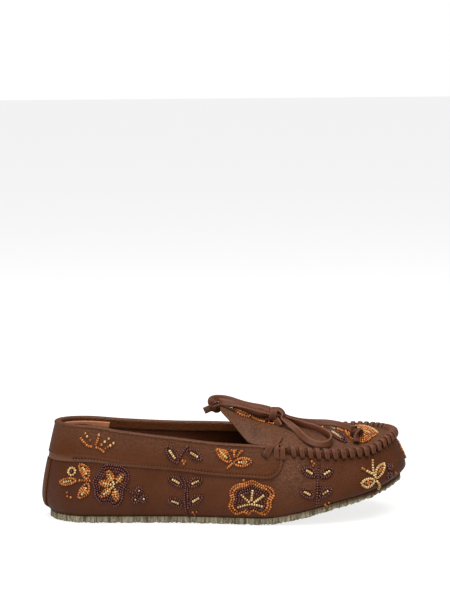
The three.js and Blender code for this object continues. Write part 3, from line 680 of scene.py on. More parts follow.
band_way = way_at(BAND_END)
ease = np.linspace(-1, 1, BAND_STATIONS)
place = (band_way * np.sign(ease) * (1 - (1 - np.abs(ease)) ** 1.15))[:, None]
at, _, _ = around(place)
to_end = (BAND_END - at) * TOP_LONG
deep = band_deep(place)
rows = np.linspace(0, FINE_DEEP, FINE_ROWS), np.linspace(FINE_DEEP, BAND_DEEP, COARSE_ROWS)[1:]
above = np.concatenate(rows)[None, :] / BAND_DEEP * deep  # mm above the lower edge, along the skin
share = 1 - (deep - above) / rise(place)
# distance from the cut edge: the ellipse's level less one, over the length of its gradient
before = np.clip(CORNER_LONG - to_end, 0, None) / CORNER_LONG
under = np.clip(deep - BAND_DEEP + CORNER_HIGH - above, 0, CORNER_HIGH) / CORNER_HIGH
level = np.maximum(np.hypot(before, under), 0.01)
to_cut = (1 - level) * level / np.maximum(np.hypot(before / CORNER_LONG, under / CORNER_HIGH), 0.0006)
edge_gap = ramp(to_cut, 0, EDGE_ROUND)
row_gap = np.abs(to_cut - STITCH_ROW)
groove = np.exp(-(row_gap / GROOVE_WIDE) ** 2) - 0.45 * np.exp(-((row_gap - 1.6) / 0.9) ** 2)
near_top = np.clip(1 - (deep - above) / PADDED, 0, 1)
skin_out = (CLEAR + BAND_HIDE * (0.25 + 0.75 * quarter_round(edge_gap))
            - GROOVE_DEEP * groove - 0.45 * near_top ** 2)
face = skin(place, share, skin_out)
turn = np.linspace(0, np.pi, 15)[None, 1:-1]
fold = wall(place, 1.0, FOLD_MIDDLE[0] + FOLD_HALF[0] * np.sign(np.cos(turn)) * np.abs(np.cos(turn)) ** 0.7,
            FOLD_MIDDLE[1] + FOLD_HALF[1] * np.sin(turn) ** 0.7)
tucked = wall(place, 1.0, TUCK[..., 0], TUCK[..., 1])
back_rows = np.linspace(0.97, 0, 12)[None, :]
back = skin(place, 1 - deep * (1 - back_rows) / rise(place), CLEAR)
cut = np.clip(1.1 - 1.25 * edge_gap, 0, 1)
aside, upward = (at - SLIT_AT) * TOP_LONG / 2 ** 0.5, (share - SLIT_UP) * rise(place) / 2 ** 0.5
slit_shade = np.exp(-((aside + upward) / SLIT_WIDE) ** 2 - ((upward - aside) / SLIT_LONG) ** 4)
on_fold, on_tuck, on_back = (np.zeros(part.shape[:2]) for part in (fold, tucked, back))
# Painted: a sheen on the upper part of the band and on its fold, where the grain also opens, and shade in the
# stitch groove and in the slit.
band = make_piece(
    "collar_band_leather", np.concatenate([face, fold, tucked, back], 1),
    leather("band_hide", (0.1, 0.0265, 0.0055, 1), (0.124, 0.0355, 0.0085, 1), BROWN_CUT_AND_LIGHT),
    edge=np.concatenate([0.75 * cut, on_fold, TUCK_CUT * np.clip(4.4 - 9 * at, 0, 1), on_back], 1),
    open=np.concatenate([0.6 * near_top ** 0.8, on_fold + 0.6, on_tuck, on_back], 1),
    shade=np.concatenate([0.06 * np.clip(groove, 0, 1) + 0.85 * slit_shade, on_fold, on_tuck, on_back], 1),
)
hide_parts("collar_band")


def flat_place(along, height, side):
    """Place and share of the wall for a pattern drawn flat: mm along the wall from the back seam and
    mm above the sole."""
    place = side * np.interp(along, ARC[side], ARC_WAYS)
    return place, height / rise(place)


def row_line(side):
    """The stitch row of one side, drawn flat: along the lower edge, round the corner and up the front."""
    end = np.interp(band_way, ARC_WAYS, ARC[side])
    low = np.linspace(ROW_FROM, end - CORNER_LONG, 300)
    bend = np.linspace(0, np.radians(84), 60)[1:]
    along = np.concatenate([low, end - CORNER_LONG + (CORNER_LONG - STITCH_ROW) * np.sin(bend)])
    row_place = side * np.interp(along, ARC[side], ARC_WAYS)
    low_edge = rise(row_place) - np.where(along <= low[-1], band_deep(row_place), BAND_DEEP)
    lift = np.concatenate([0 * low, (CORNER_HIGH - STITCH_ROW) * (1 - np.cos(bend))])
    return np.stack([along, low_edge + STITCH_ROW + lift], -1)


def spaced(line, pitch):
    """Points along a line at an even pitch, and the unit direction of the line there."""
    run = run_of(line)
    count = max(int(round(run[-1] / pitch)), 1)
    where = (np.arange(count) + 0.5) * run[-1] / count
    step = run[-1] / count / 4
    return pick(where, run, line), unit(pick(where + step, run, line) - pick(where - step, run, line))


def thread_stitches(side):
    """Stitches of one row: short tubes along the row whose ends dive into the leather."""
    point, heading = (v.T[:, :, None, None] for v in spaced(row_line(side), STITCH_PITCH))
    run = np.linspace(-0.5, 0.5, 7)[None, :, None]
    turn = (2 * np.pi * np.arange(6) / 6)[None, None, :]
    dive = 1 - (2 * np.abs(run)) ** 3
    wide = THREAD / 2 * np.cos(turn) * (0.5 + 0.5 * dive)
    along = point[0] + heading[0] * run * STITCH_LONG - heading[1] * wide
    height = point[1] + heading[1] * run * STITCH_LONG + heading[0] * wide
    place, share = flat_place(along, height, side)
    return skin(place, share, CLEAR + BAND_HIDE - 0.5 + 0.3 * dive + THREAD / 2 * np.sin(turn))


thread, tree, shader = make_material("brown_thread")
twist = add_node(tree, "TexWave", {"Vector": object_spot(tree), "Scale": 900, "Distortion": 2})
set_sockets(tree, shader, {
    "Base Color": add_mix(tree, twist.outputs["Fac"], (0.012, 0.004, 0.002, 1), (0.03, 0.01, 0.005, 1)),
    "Roughness": 0.8, "Specular IOR Level": 0.15,
})
stitches = make_piece("band_stitches", np.concatenate([thread_stitches(-1), thread_stitches(1)]), thread)


# Heel strip: a narrow cover of the same leather, sewn over the back seam from the sole up to the band.
STRIP_WAY, STRIP_FOOT, STRIP_THICK, STRIP_ROUND = 0.045, 0.05, 0.84, 0.8
place = np.linspace(-STRIP_WAY, STRIP_WAY, 60)[:, None]
head = 1 - band_deep(place) / rise(place) - 2 * CLEAR / HEEL_HEIGHT
share = STRIP_FOOT + (head - STRIP_FOOT) * np.linspace(0, 1, 40)[None, :]
from_side = ramp((STRIP_WAY - np.abs(place)) * MM_PER_PLACE, 0, STRIP_ROUND)
from_cut = from_side * ramp((share - STRIP_FOOT) * HEEL_HEIGHT, 0, STRIP_ROUND)
face = skin(place, share, CLEAR + STRIP_THICK * (0.2 + 0.8 * quarter_round(from_cut)))
back = skin(place, share[:, ::-1], CLEAR)
strip_cut = np.clip(1.1 - 1.3 * from_cut, 0, 1)
heel_strip = make_piece(
    "heel_strip_leather", np.concatenate([face, back], 1),
    leather("strip_hide", (0.098, 0.0245, 0.0052, 1), (0.122, 0.033, 0.0085, 1), BROWN_CUT_AND_LIGHT),
    edge=np.concatenate([0.2 * strip_cut, 0 * strip_cut], 1),
)
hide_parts("heel_strip")

# Heel grip: a patch of tan suede glued inside the back of the quarters, over the fold of the band, which
# keeps the heel from slipping.
GRIP_WAY, GRIP_TOP, GRIP_FOOT, GRIP_THICK, GRIP_ROUND = 0.2, 0.972, 0.42, 0.7, 1.2
LAP_FLAT, LAP_STEP, LAP_RUN = 0.05, 1.35, 1.6  # gap to the wall, step over the band's fold, and its run
SUEDE_DEEP, SUEDE_PALE, SUEDE_NAP = (0.6, 0.22, 0.085, 1), (0.8, 0.35, 0.165, 1), (0.12, 0.05, 0.025, 1)
place = np.linspace(-GRIP_WAY, GRIP_WAY, 150)[:, None]
share = np.linspace(GRIP_FOOT, GRIP_TOP, 34)[None, :]
from_side = ramp((GRIP_WAY - np.abs(place)) * MM_PER_PLACE, 0, GRIP_ROUND)
swell = quarter_round(from_side) * np.clip((share - GRIP_FOOT) * HEEL_HEIGHT, 0.2, 1)
lap = LAP_FLAT + LAP_STEP * ramp(FOLD_IN + 1.8 - (1 - share) * rise(place), 0, LAP_RUN)
face = skin(place, share, -HIDE - lap - GRIP_THICK * (0.25 + 0.75 * swell))
back = skin(place, share, -HIDE - lap)[:, ::-1]
suede, tree, shader = make_material("tan_suede")
nap, brushed = add_noise(tree, object_spot(tree), 900, 6), add_noise(tree, object_spot(tree), 90, 3)
set_sockets(tree, shader, {
    "Base Color": add_mix(tree, add_range(tree, nap, 0.3, 0.7, 0.25, 0),
                          add_mix(tree, brushed, SUEDE_DEEP, SUEDE_PALE), SUEDE_NAP),
    "Roughness": 0.9, "Sheen Weight": 0.2, "Normal": add_bump(tree, nap, 0.5, GRAIN_DEEP),
})
heel_grip = make_piece("heel_grip", np.concatenate([face, back], 1), suede)


# Insole: a sheet of soft tan leather on board that lies on the sole, inside the foot of the wall, and has
# taken a shallow cup under the heel.
INSOLE_THICK, INSOLE_CLEAR, INSOLE_STATIONS = 2.0, 0.6, 240
CUP_DEEP, CUP_X, CUP_HALF = 0.7, 34.0, 26.0
INSOLE_DEEP, INSOLE_PALE = (0.2, 0.09, 0.042, 1), (0.26, 0.125, 0.062, 1)


def flank(side, way, inset, height):
    """One edge of a slab: the foot's outline moved in by the turn-in of the wall and an inset, with heights
    above the tread."""
    at, _, _ = around(side * way)
    moved = outward(side * way) * (column(LAST, "tuck", at) + inset)[..., None]
    flat = foot_line(side * way) - moved
    return np.concatenate([flat, (tread(flat[..., 0]) + height)[..., None]], -1)


def slab(outer, inner, over):
    """A slab lofted from heel to toe: up the outer edge, over the top, down the inner edge and back under;
    over is the row of shares across the top and the bottom."""
    top = outer[:, -1:] + (inner[:, -1:] - outer[:, -1:]) * over[None, :, None]
    under = inner[:, :1] + (outer[:, :1] - inner[:, :1]) * over[None, :, None]
    return outer, top, inner[:, ::-1], under


way = np.linspace(0, 1, INSOLE_STATIONS)[:, None]
over = np.linspace(0, 1, 16)[1:-1]
inset = HIDE + INSOLE_CLEAR + np.array([0.5, 0.0, 0.0, 0.15, 0.5])[None, :]
height = SOLE + CLEAR + INSOLE_THICK * np.array([0.0, 0.25, 0.7, 0.92, 1.0])[None, :]
parts = slab(*(flank(side, way, inset, height) for side in (-1.0, 1.0)), over)
parts[1][..., 2] -= CUP_DEEP * np.sin(np.pi * over) * np.exp(-((parts[1][..., 0] - CUP_X) / CUP_HALF) ** 2)
insole = make_piece(
    "insole_sheet", np.concatenate(parts, 1),
    leather("insole_sheet", INSOLE_DEEP, INSOLE_PALE, BROWN_CUT_AND_LIGHT, pebble=900.0, relief=0.2), weld=True)
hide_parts("insole")

# Outsole: a thin slab of khaki crepe rubber bonded under the upper. Its edge is trimmed by hand, with
# upright streaks in the trimmed face and a ragged row of crumbs along the lower edge.
SOLE_LIP, SOLE_ROUND, SOLE_STATIONS = 0.8, 0.9, 620
SOLE_ROWS = np.array([0.0, 0.12, 0.35, 0.65, 1.0, 1.5, 2.1, 2.7, 3.3, 3.9, 4.4, SOLE])[None, :]
WORN_FROM, WORN = 4.0, 0.12  # the top of the edge leans in
TOOTH_HIGH = 1.4  # how far up the teeth of the lower edge reach
JOIN_SHADE_HIGH, JOIN_SHADE_RUN = 2.6, 1.3  # the top of the edge is painted in the upper's brown, most at the toe: painted shade where the upper meets it
CREPE_DARK, CREPE_PALE, CREPE_PATCH = (0.13, 0.105, 0.056, 1), (0.68, 0.59, 0.4, 1), (0.34, 0.295, 0.19, 1)
CREPE_CRUMB, JOIN_SHADE_BROWN = (0.13, 0.105, 0.062, 1), (0.085, 0.028, 0.01, 1)


def ragged(run, side, height):
    """How far the trimmed edge stands out: upright streaks as sines of the run along the edge, and crumbs
    of uneven size that grow towards the lower edge and the toe."""
    streak = (0.1 * np.sin(run * 3.3 + 1.3 * np.sin(run * 0.41))
              + 0.09 * np.sin(run * 1.9 + 2.1 * np.sin(run * 0.23)))
    crumb = np.abs(np.sin(run * 0.86 + 1.1 * np.sin(run * 0.19 + side))) * (0.6 + 0.4 * np.sin(run * 0.37))
    low = np.clip(1 - height / SOLE, 0, 1)
    coarse = 0.75 + 0.7 * ramp(run, 165, 50)
    return streak * (0.4 + 0.6 * low) + coarse * (crumb - 0.45) * low ** 1.5


def teeth(run, height):
    """How far the lower edge is lifted: folded sines of the run along the edge, larger towards the toe."""
    small = np.abs(np.sin(run * 1.1 + 1.7 * np.sin(run * 0.31))) * (0.45 + 0.3 * np.sin(run * 0.53 + 2))
    large = 0.8 * ramp(run, 200, 50) * np.abs(np.sin(run * 0.47 + np.sin(run * 0.17)))
    return (small + large) * np.clip(1 - height / TOOTH_HIGH, 0, 1)


way = np.linspace(0, 1, SOLE_STATIONS)[:, None]
over = np.linspace(0, 1, 14)[1:-1]
rounding = SOLE_ROUND * (1 - quarter_round(np.minimum(SOLE_ROWS / SOLE_ROUND, 1)))
trimmed = rounding - SOLE_LIP + WORN * np.clip(SOLE_ROWS - WORN_FROM, 0, None)
at_ends = ramp(np.minimum(way, 1 - way), 0, 0.004)
edges = []
for side in (-1, 1):
    run = np.interp(way, ARC_WAYS, ARC[side])
    edges.append(flank(side, way, trimmed - ragged(run, side, SOLE_ROWS) * at_ends,
                       SOLE_ROWS + teeth(run, SOLE_ROWS) * at_ends))
parts = slab(*edges, over)
parts[3][..., 2] = tread(parts[3][..., 0])
to_toe = ramp(way, 0.6, 0.22)
# Painted shade in the upper's brown on the top of the edge, where the upper meets the sole.
join_shade = ramp(SOLE_ROWS + 0.9 * to_toe, JOIN_SHADE_HIGH, JOIN_SHADE_RUN) * (0.15 + 0.8 * to_toe)
crepe, tree, shader = make_material("khaki_crepe")
spot = object_spot(tree)
upright = add_node(tree, "Mapping", {"Vector": spot, "Scale": (1, 1, 0.12)}).outputs["Vector"]
streaks, bands = add_noise(tree, upright, 640, 5, 0.7), add_noise(tree, upright, 130, 3)
crumbs = add_noise(tree, spot, 1400, 4)
streaked = add_mix(tree, add_range(tree, streaks, 0.4, 0.62, 0, 1), CREPE_DARK, CREPE_PALE)
patched = add_mix(tree, add_range(tree, bands, 0.35, 0.7, 0, 0.3), streaked, CREPE_PATCH)
crumbled = add_mix(tree, add_range(tree, crumbs, 0.35, 0.5, 0.5, 0), patched, CREPE_CRUMB)
set_sockets(tree, shader, {
    "Base Color": add_mix(tree, add_mask(tree, "shade"), crumbled, JOIN_SHADE_BROWN),
    "Roughness": 0.9, "Specular IOR Level": 0.2,
    "Normal": add_bump(tree, add_math(tree, "ADD", streaks, crumbs), 0.6, 0.0006),
})
outsole = make_piece(
    "crepe_sole", np.concatenate(parts, 1), crepe, weld=True,
    shade=np.concatenate([join_shade, 0 * parts[1][..., 0], join_shade[:, ::-1], 0 * parts[3][..., 0]], 1))
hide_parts("outsole")


# Lace bars: a flat strip of leather, 4.6 mm wide, that comes out of the folded collar band on each side,
# crosses the start of the seam aslant and goes down through a slit in the apron.
# over the seam: share of the top edge, share of the wall, out, up, tilt in degrees; then on the apron:
# share of the top edge, share of the half-width, and lift above it
BAR_OVER_SEAM = np.array([
    [0.613, 0.89, 1.0, 0, 4], [0.616, 0.92, 2.3, 0, 8], [0.621, 0.965, 2.7, 0, 15], [0.627, 1, 2.7, 1.4, 40],
    [0.633, 1, 1.2, 3.3, 70], [0.639, 1, -1.8, 3.4, 90],
]).T
BAR_ON_APRON = np.array([[0.647, 0.86, 1.4], [0.654, 0.72, 1.3], [0.657, 0.66, -0.8]]).T
BAR_STEPS, BAR_CURL = 70, -0.3


def lace_bar(side):
    """One bar: its points and normals over the seam, then on the apron."""
    at, share, out, up, tilt = BAR_OVER_SEAM
    place, lean = side * way_at(at), np.radians(tilt)[:, None]
    on_apron = way_at(BAR_ON_APRON[0]), side * BAR_ON_APRON[1]
    lift = apron_normal(*on_apron)
    points = [wall(place, share, out, up), apron_face(*on_apron) + lift * BAR_ON_APRON[2][:, None]]
    facing = [np.concatenate([outward(place) * np.cos(lean), np.sin(lean)], 1), lift]
    return lace(np.concatenate(points), np.concatenate(facing), BAR_STEPS, curl=BAR_CURL)


for side, node in ((-1, "lace_bar_outer"), (1, "lace_bar_inner")):
    grid, edge, _ = lace_bar(side)
    bar = make_piece(node + "_strip", grid, lace_hide, edge=edge)
    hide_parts(node)

# Bow: the lace comes up again through the apron and is tied in a bow. Two loops and two free ends leave the
# knot and lie on the apron and the tongue, and each end is stopped by an overhand knot with a short tail.
# Each route: points from the knot, then the ways that the broad face looks along it
TOE_LOOP = (
    [[163.4, -5.4, 66.8], [168, -9, 63.6], [172.5, -13.4, 60.4], [176.6, -20.4, 57.2], [180.9, -25.4, 54.6],
     [185.4, -27.8, 53], [190.2, -27.4, 52.4], [194.1, -24.4, 52.8], [196, -19.2, 54.1], [195.5, -13.4, 55.6],
     [193.1, -8.2, 57], [188.6, -2, 58.4], [183.6, 1.8, 59.6], [177, 3.6, 61.2], [170.4, 2, 63.6],
     [164.7, -1.2, 66.6]],
    [[0.1, 0.1, 1], [-0.35, -0.5, 0.8], [-0.5, -0.75, 0.5], [-0.1, -0.85, 0.55], [0.7, -0.65, 0.3],
     [0.95, 0.2, 0], [0.6, 0.8, -0.15], [0.3, 0.95, -0.1], [0, 0.9, 0.2], [0, 0.4, 0.9]],
)
HEEL_LOOP = (
    [[152.2, -5, 70.8], [149, -5.6, 71.6], [145, -6, 72.8], [141, -6.2, 74.2], [137, -6.2, 75.5],
     [133, -6, 76.5], [129, -6.1, 77.3], [125.6, -6, 77.9], [122.6, -5.2, 78.1], [120.8, -3.3, 78.1],
     [120.8, -0.9, 77.9], [122.6, 0.9, 77.5], [125.6, 1.5, 76.8], [128.6, 1.3, 75.9], [132, 0.8, 74.7],
     [137.4, 0.4, 72.6], [143, 0.2, 70.1], [148, -0.2, 68.2], [152, -0.6, 67.4]],
    [[0, -0.28, 0.96], [0, -0.25, 0.97], [0, -0.4, 0.9], [-0.1, -0.8, 0.6], [-0.95, -0.2, 0.2],
     [-0.2, 0.95, 0.2], [0, 0.95, 0.1], [0, 0.95, 0.1], [0, 0.8, 0.4]],
)
TOE_END = (
    [[164.4, 3.4, 67.2], [168, 7.6, 64.6], [173, 12.4, 62.2], [179, 15.2, 60.7], [187, 16.4, 60],
     [195, 15.8, 59.8], [202, 13, 59.2], [207.8, 8, 58.4], [211.4, 2.4, 57.6], [212.9, -2, 57.2]],
    [[0.3, -0.6, 0.7], [0.1, -0.85, 0.5], [0, -0.9, 0.4], [0, -0.85, 0.5], [-0.2, -0.7, 0.7],
     [-0.6, -0.3, 0.75], [-0.5, 0, 0.85]],
)
HEEL_END = (
    [[155.2, 3.6, 71.8], [149.1, 4.4, 73.1], [144.3, 4.6, 73.9], [139.9, 4.6, 74.8], [135.8, 4.6, 75.9],
     [132, 4.6, 77.1], [128.4, 4.6, 78.2], [124.5, 4.6, 79.1], [120.6, 4.5, 79.5], [117.2, 4.2, 79.4],
     [115.2, 3.2, 78.7], [114.6, 1.6, 77.6], [114.8, 0.2, 76.6], [115.6, -1, 76]],
    [[0, -0.45, 0.9], [0, -0.6, 0.8], [0, -0.6, 0.8], [0, -0.65, 0.75], [-0.2, -0.85, 0.5],
     [-0.4, -0.9, 0.2], [-0.4, -0.85, -0.35]],
)
# Each overhand knot: its middle, the tip of its tail and its axis
END_KNOTS = {
    "end_knot_toe": ([213.5, -6, 57], [213.4, -16, 52], [0.25, -0.6, 0.75]),
    "end_knot_heel": ([117.7, -2.6, 75.2], [110.3, -5.0, 72.4], [0.3, -0.85, 0.4]),
}
TREFOIL, TREFOIL_DEEP = 1.02, -2.1
STRAND_LONG, STRAND_CURL, KNOT_STEPS = 110, 0.25, 150


def overhand(middle, tip, axis):
    """An overhand knot: a trefoil curve turned to its axis, which runs on into a short tail to the tip."""
    t = np.linspace(0.15, 2 * np.pi - 0.5, 26)
    axis = unit(np.array(axis))
    side = unit(np.cross(axis, [0.0, 0.0, 1.0]))
    trefoil = [np.sin(t) + 2 * np.sin(2 * t), np.cos(t) - 2 * np.cos(2 * t), TREFOIL_DEEP * np.sin(3 * t)]
    loops = TREFOIL * np.stack(trefoil, -1) @ np.stack([side, np.cross(axis, side), axis])
    middle, tip = np.array(middle), np.array(tip)
    tail = middle + (tip - middle) * np.array([0.55, 0.8, 1.0])[:, None]
    away = np.concatenate([loops + 0.8 * axis, np.tile(axis, (3, 1))])
    return lace(np.concatenate([middle + loops, tail]), away, KNOT_STEPS, thick=2.0)


end_knots = {}
for node, knot in END_KNOTS.items():
    grid, edge, _ = overhand(*knot)
    end_knots[node] = make_piece(node + "_lace", grid, lace_hide, edge=0.5 * edge, shade=0.25)
    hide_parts(node)

for node, (route, facing), long, far_end, carried in (
    ("bow_loop_toe", TOE_LOOP, 0.097, "object", []),
    ("bow_loop_heel", HEEL_LOOP, 0.069, "object", []),
    ("lace_end_toe", TOE_END, 0.063, "knot", [end_knots["end_knot_toe"]]),
    ("lace_end_heel", HEEL_END, 0.046, "knot", [end_knots["end_knot_heel"]]),
):
    grid, edge, line = lace(route, facing, STRAND_LONG, curl=STRAND_CURL)
    strand = make_piece(node + "_lace", grid, lace_hide, edge=edge)
    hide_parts(node)

# Bow knot: one turn of the lace drawn tight over the strands that pass through it, which bulge beside it.
WRAP_X, WRAP_HALF, WRAP_WIDE = 156.2, (4.5, 4.4), 5.0  # middle of the turn, half of its width and height
WRAP_ARC, WRAP_SLANT, WRAP_CLIMB = (-130, 265), 1.2, 0.004
# Strands through the knot: points, and the ways that the broad face looks
THROUGH = [
    ([[154.6, -1.6, 70.8], [158.4, -2.2, 72.5], [161.8, -3.2, 72.2], [164.2, -4.6, 69.6],
      [163.4, -5.4, 66.8]],
     [[-0.3, -0.3, 0.9], [0, -0.4, 0.9], [0.4, -0.5, 0.8], [0.85, -0.5, 0.2], [0.9, -0.5, -0.1]]),
    ([[154, 1.2, 71], [158, 1.4, 72.2], [161.6, 2, 71.4], [164.4, 3.4, 67.2]],
     [[-0.2, 0, 1], [0, 0, 1], [0.5, 0, 0.85], [0.9, 0.1, 0.4]]),
    ([[152.2, -5, 70.8], [155.4, -3.8, 70.2], [160, -2.6, 69.4], [164.7, -1.2, 66.6]],
     [[0, -0.4, 0.9], [0, -0.4, 0.9], [0.3, -0.3, 0.9], [0.5, -0.1, 0.85]]),
    ([[155.2, 3.6, 71.8], [158, 1, 70.4], [161, -1.5, 68.6]], [[0, -0.4, 0.9], [0, -0.2, 1], [0.2, 0, 1]]),
    ([[150.6, -1.2, 70], [155, -1.8, 69.8], [159.5, -2.2, 70], [163.8, -2.8, 69.4]],
     [[0, -0.9, 0.4], [0, -0.9, 0.4], [0, -0.9, 0.4], [0.3, -0.85, 0.4]]),
    ([[152, -0.6, 67.4], [157, -0.8, 66.6], [162.6, -1.4, 66.2]],
     [[0, -0.8, 0.6], [0, -0.8, 0.6], [0.3, -0.8, 0.5]]),
    ([[162, -9.4, 62], [159.8, -6.8, 65], [158, -2, 66.6], [161.4, 3.4, 65], [167, 6.4, 62.2]],
     [[-0.75, -0.5, 0.3], [-0.5, -0.6, 0.6], [0, 0, 1], [0, -0.6, 0.8], [0, -0.85, 0.5]]),
]
round_knot = np.radians(np.linspace(*WRAP_ARC, 17))
cos, sin = np.cos(round_knot), np.sin(round_knot)
tight = np.where(np.abs(np.linspace(-1, 1, 17)) > 0.92, 0.75, 1.0)
wrap = np.stack([
    WRAP_X + WRAP_SLANT * sin + WRAP_CLIMB * np.degrees(round_knot),
    TIED_AT[1] + WRAP_HALF[0] * tight * cos, TIED_AT[2] + 0.3 + WRAP_HALF[1] * tight * sin], -1)
strands = [lace(wrap, np.stack([0 * cos, cos, sin], -1), 60, wide=WRAP_WIDE)]
strands += [lace(*strand, 60, wide=4.4, curl=0.15) for strand in THROUGH]
grid, edge, _ = (np.stack(part) for part in zip(*strands))
bow_knot = make_piece("bow_knot_lace", grid, lace_hide, edge=edge)
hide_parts("bow_knot")


# Beadwork: round glass seed beads of about 2 mm, sewn down in rows as flower sprigs on both walls, the
# apron and the tongue. Amber, dark plum and pale gold; each leaf has a rim of one colour and a vein of
# another.
BEAD, BEAD_PITCH, BEAD_ROOM = 1.9, 1.55, 1.22  # room: least distance to a bead of another row
BEAD_HOLE, BEAD_LONG, BEAD_SUNK = 0.3, 0.36, 0.34  # hole, half-length and height of its middle, by its size
BEAD_TURNS, BEAD_SIDES = 8, 5
LEAF_STEPS, VEIN, MID_ROW = 60, slice(14, 47), 0.52  # steps of a rim, those of a vein, and the row between
AMBER, PLUM, GOLD = "amber", "plum", "gold"


def leaf(rim, vein, base, tip, half=2.1, bend=0.0):
    """Rows of a leaf: a rim whose half-width is half times sin(pi s)^0.7, and a vein in its middle, with an
    amber row between them if either is amber; the bend bows the leaf aside by its size times sin(pi s)."""
    base, tip = np.array(base, float), np.array(tip, float)
    s = np.linspace(0, 1, LEAF_STEPS)[:, None]
    side = unit(np.array([base[1] - tip[1], tip[0] - base[0]]))
    middle = base + (tip - base) * s + side * bend * np.sin(np.pi * s)
    out = side * half * np.sin(np.pi * s) ** 0.7
    rows = [(rim, 1.0), (AMBER, MID_ROW)] if AMBER in (rim, vein) else [(rim, 1.0)]
    closed = [(colour, np.concatenate([middle + wide * out, (middle - wide * out)[::-1]]))
              for colour, wide in rows]
    return [closed[0], (vein, middle[VEIN]), *closed[1:]]


def stem(colour, *points):
    """A row along a smooth line through points."""
    points = np.array(points, float)
    return [(colour, points if len(points) < 3 else smooth_line(points, 60))]


def ring(colour, heart, middle, radius):
    """A small ring of beads round one bead."""
    turn = np.linspace(0, 2 * np.pi, 40)
    middle = np.array(middle, float)
    circle = middle + radius * np.stack([np.cos(turn), np.sin(turn)], -1)
    return [(colour, circle), (heart, middle + np.array([[-0.4, 0], [0.4, 0]]))]


def dots(colour, *points):
    """Single beads, one at each point."""
    return [(colour, np.array(point) + np.array([[-0.5, 0], [0.5, 0]])) for point in points]


def blossom(rows, points):
    """The outline of a flower: concentric rows, each a colour and a share of the size, of one closed smooth
    line through points."""
    points = np.array(points, float)
    line, middle = smooth_line(np.concatenate([points, points[:1]]), 300), points.mean(0)
    return [(colour, middle + (line - middle) * share) for colour, share in rows]


def petals(rim, vein, heart, tips, start, half):
    """Leaves that stand round a heart: each rim begins at a share of the way to its tip, its vein nearer."""
    heart, tips = np.array(heart, float), np.array(tips, float)
    veins = [(vein, heart + np.array([[0.03], [0.82]]) * (tip - heart)) for tip in tips]
    return veins + [leaf(rim, vein, heart + start * (tip - heart), tip, half)[0] for tip in tips]


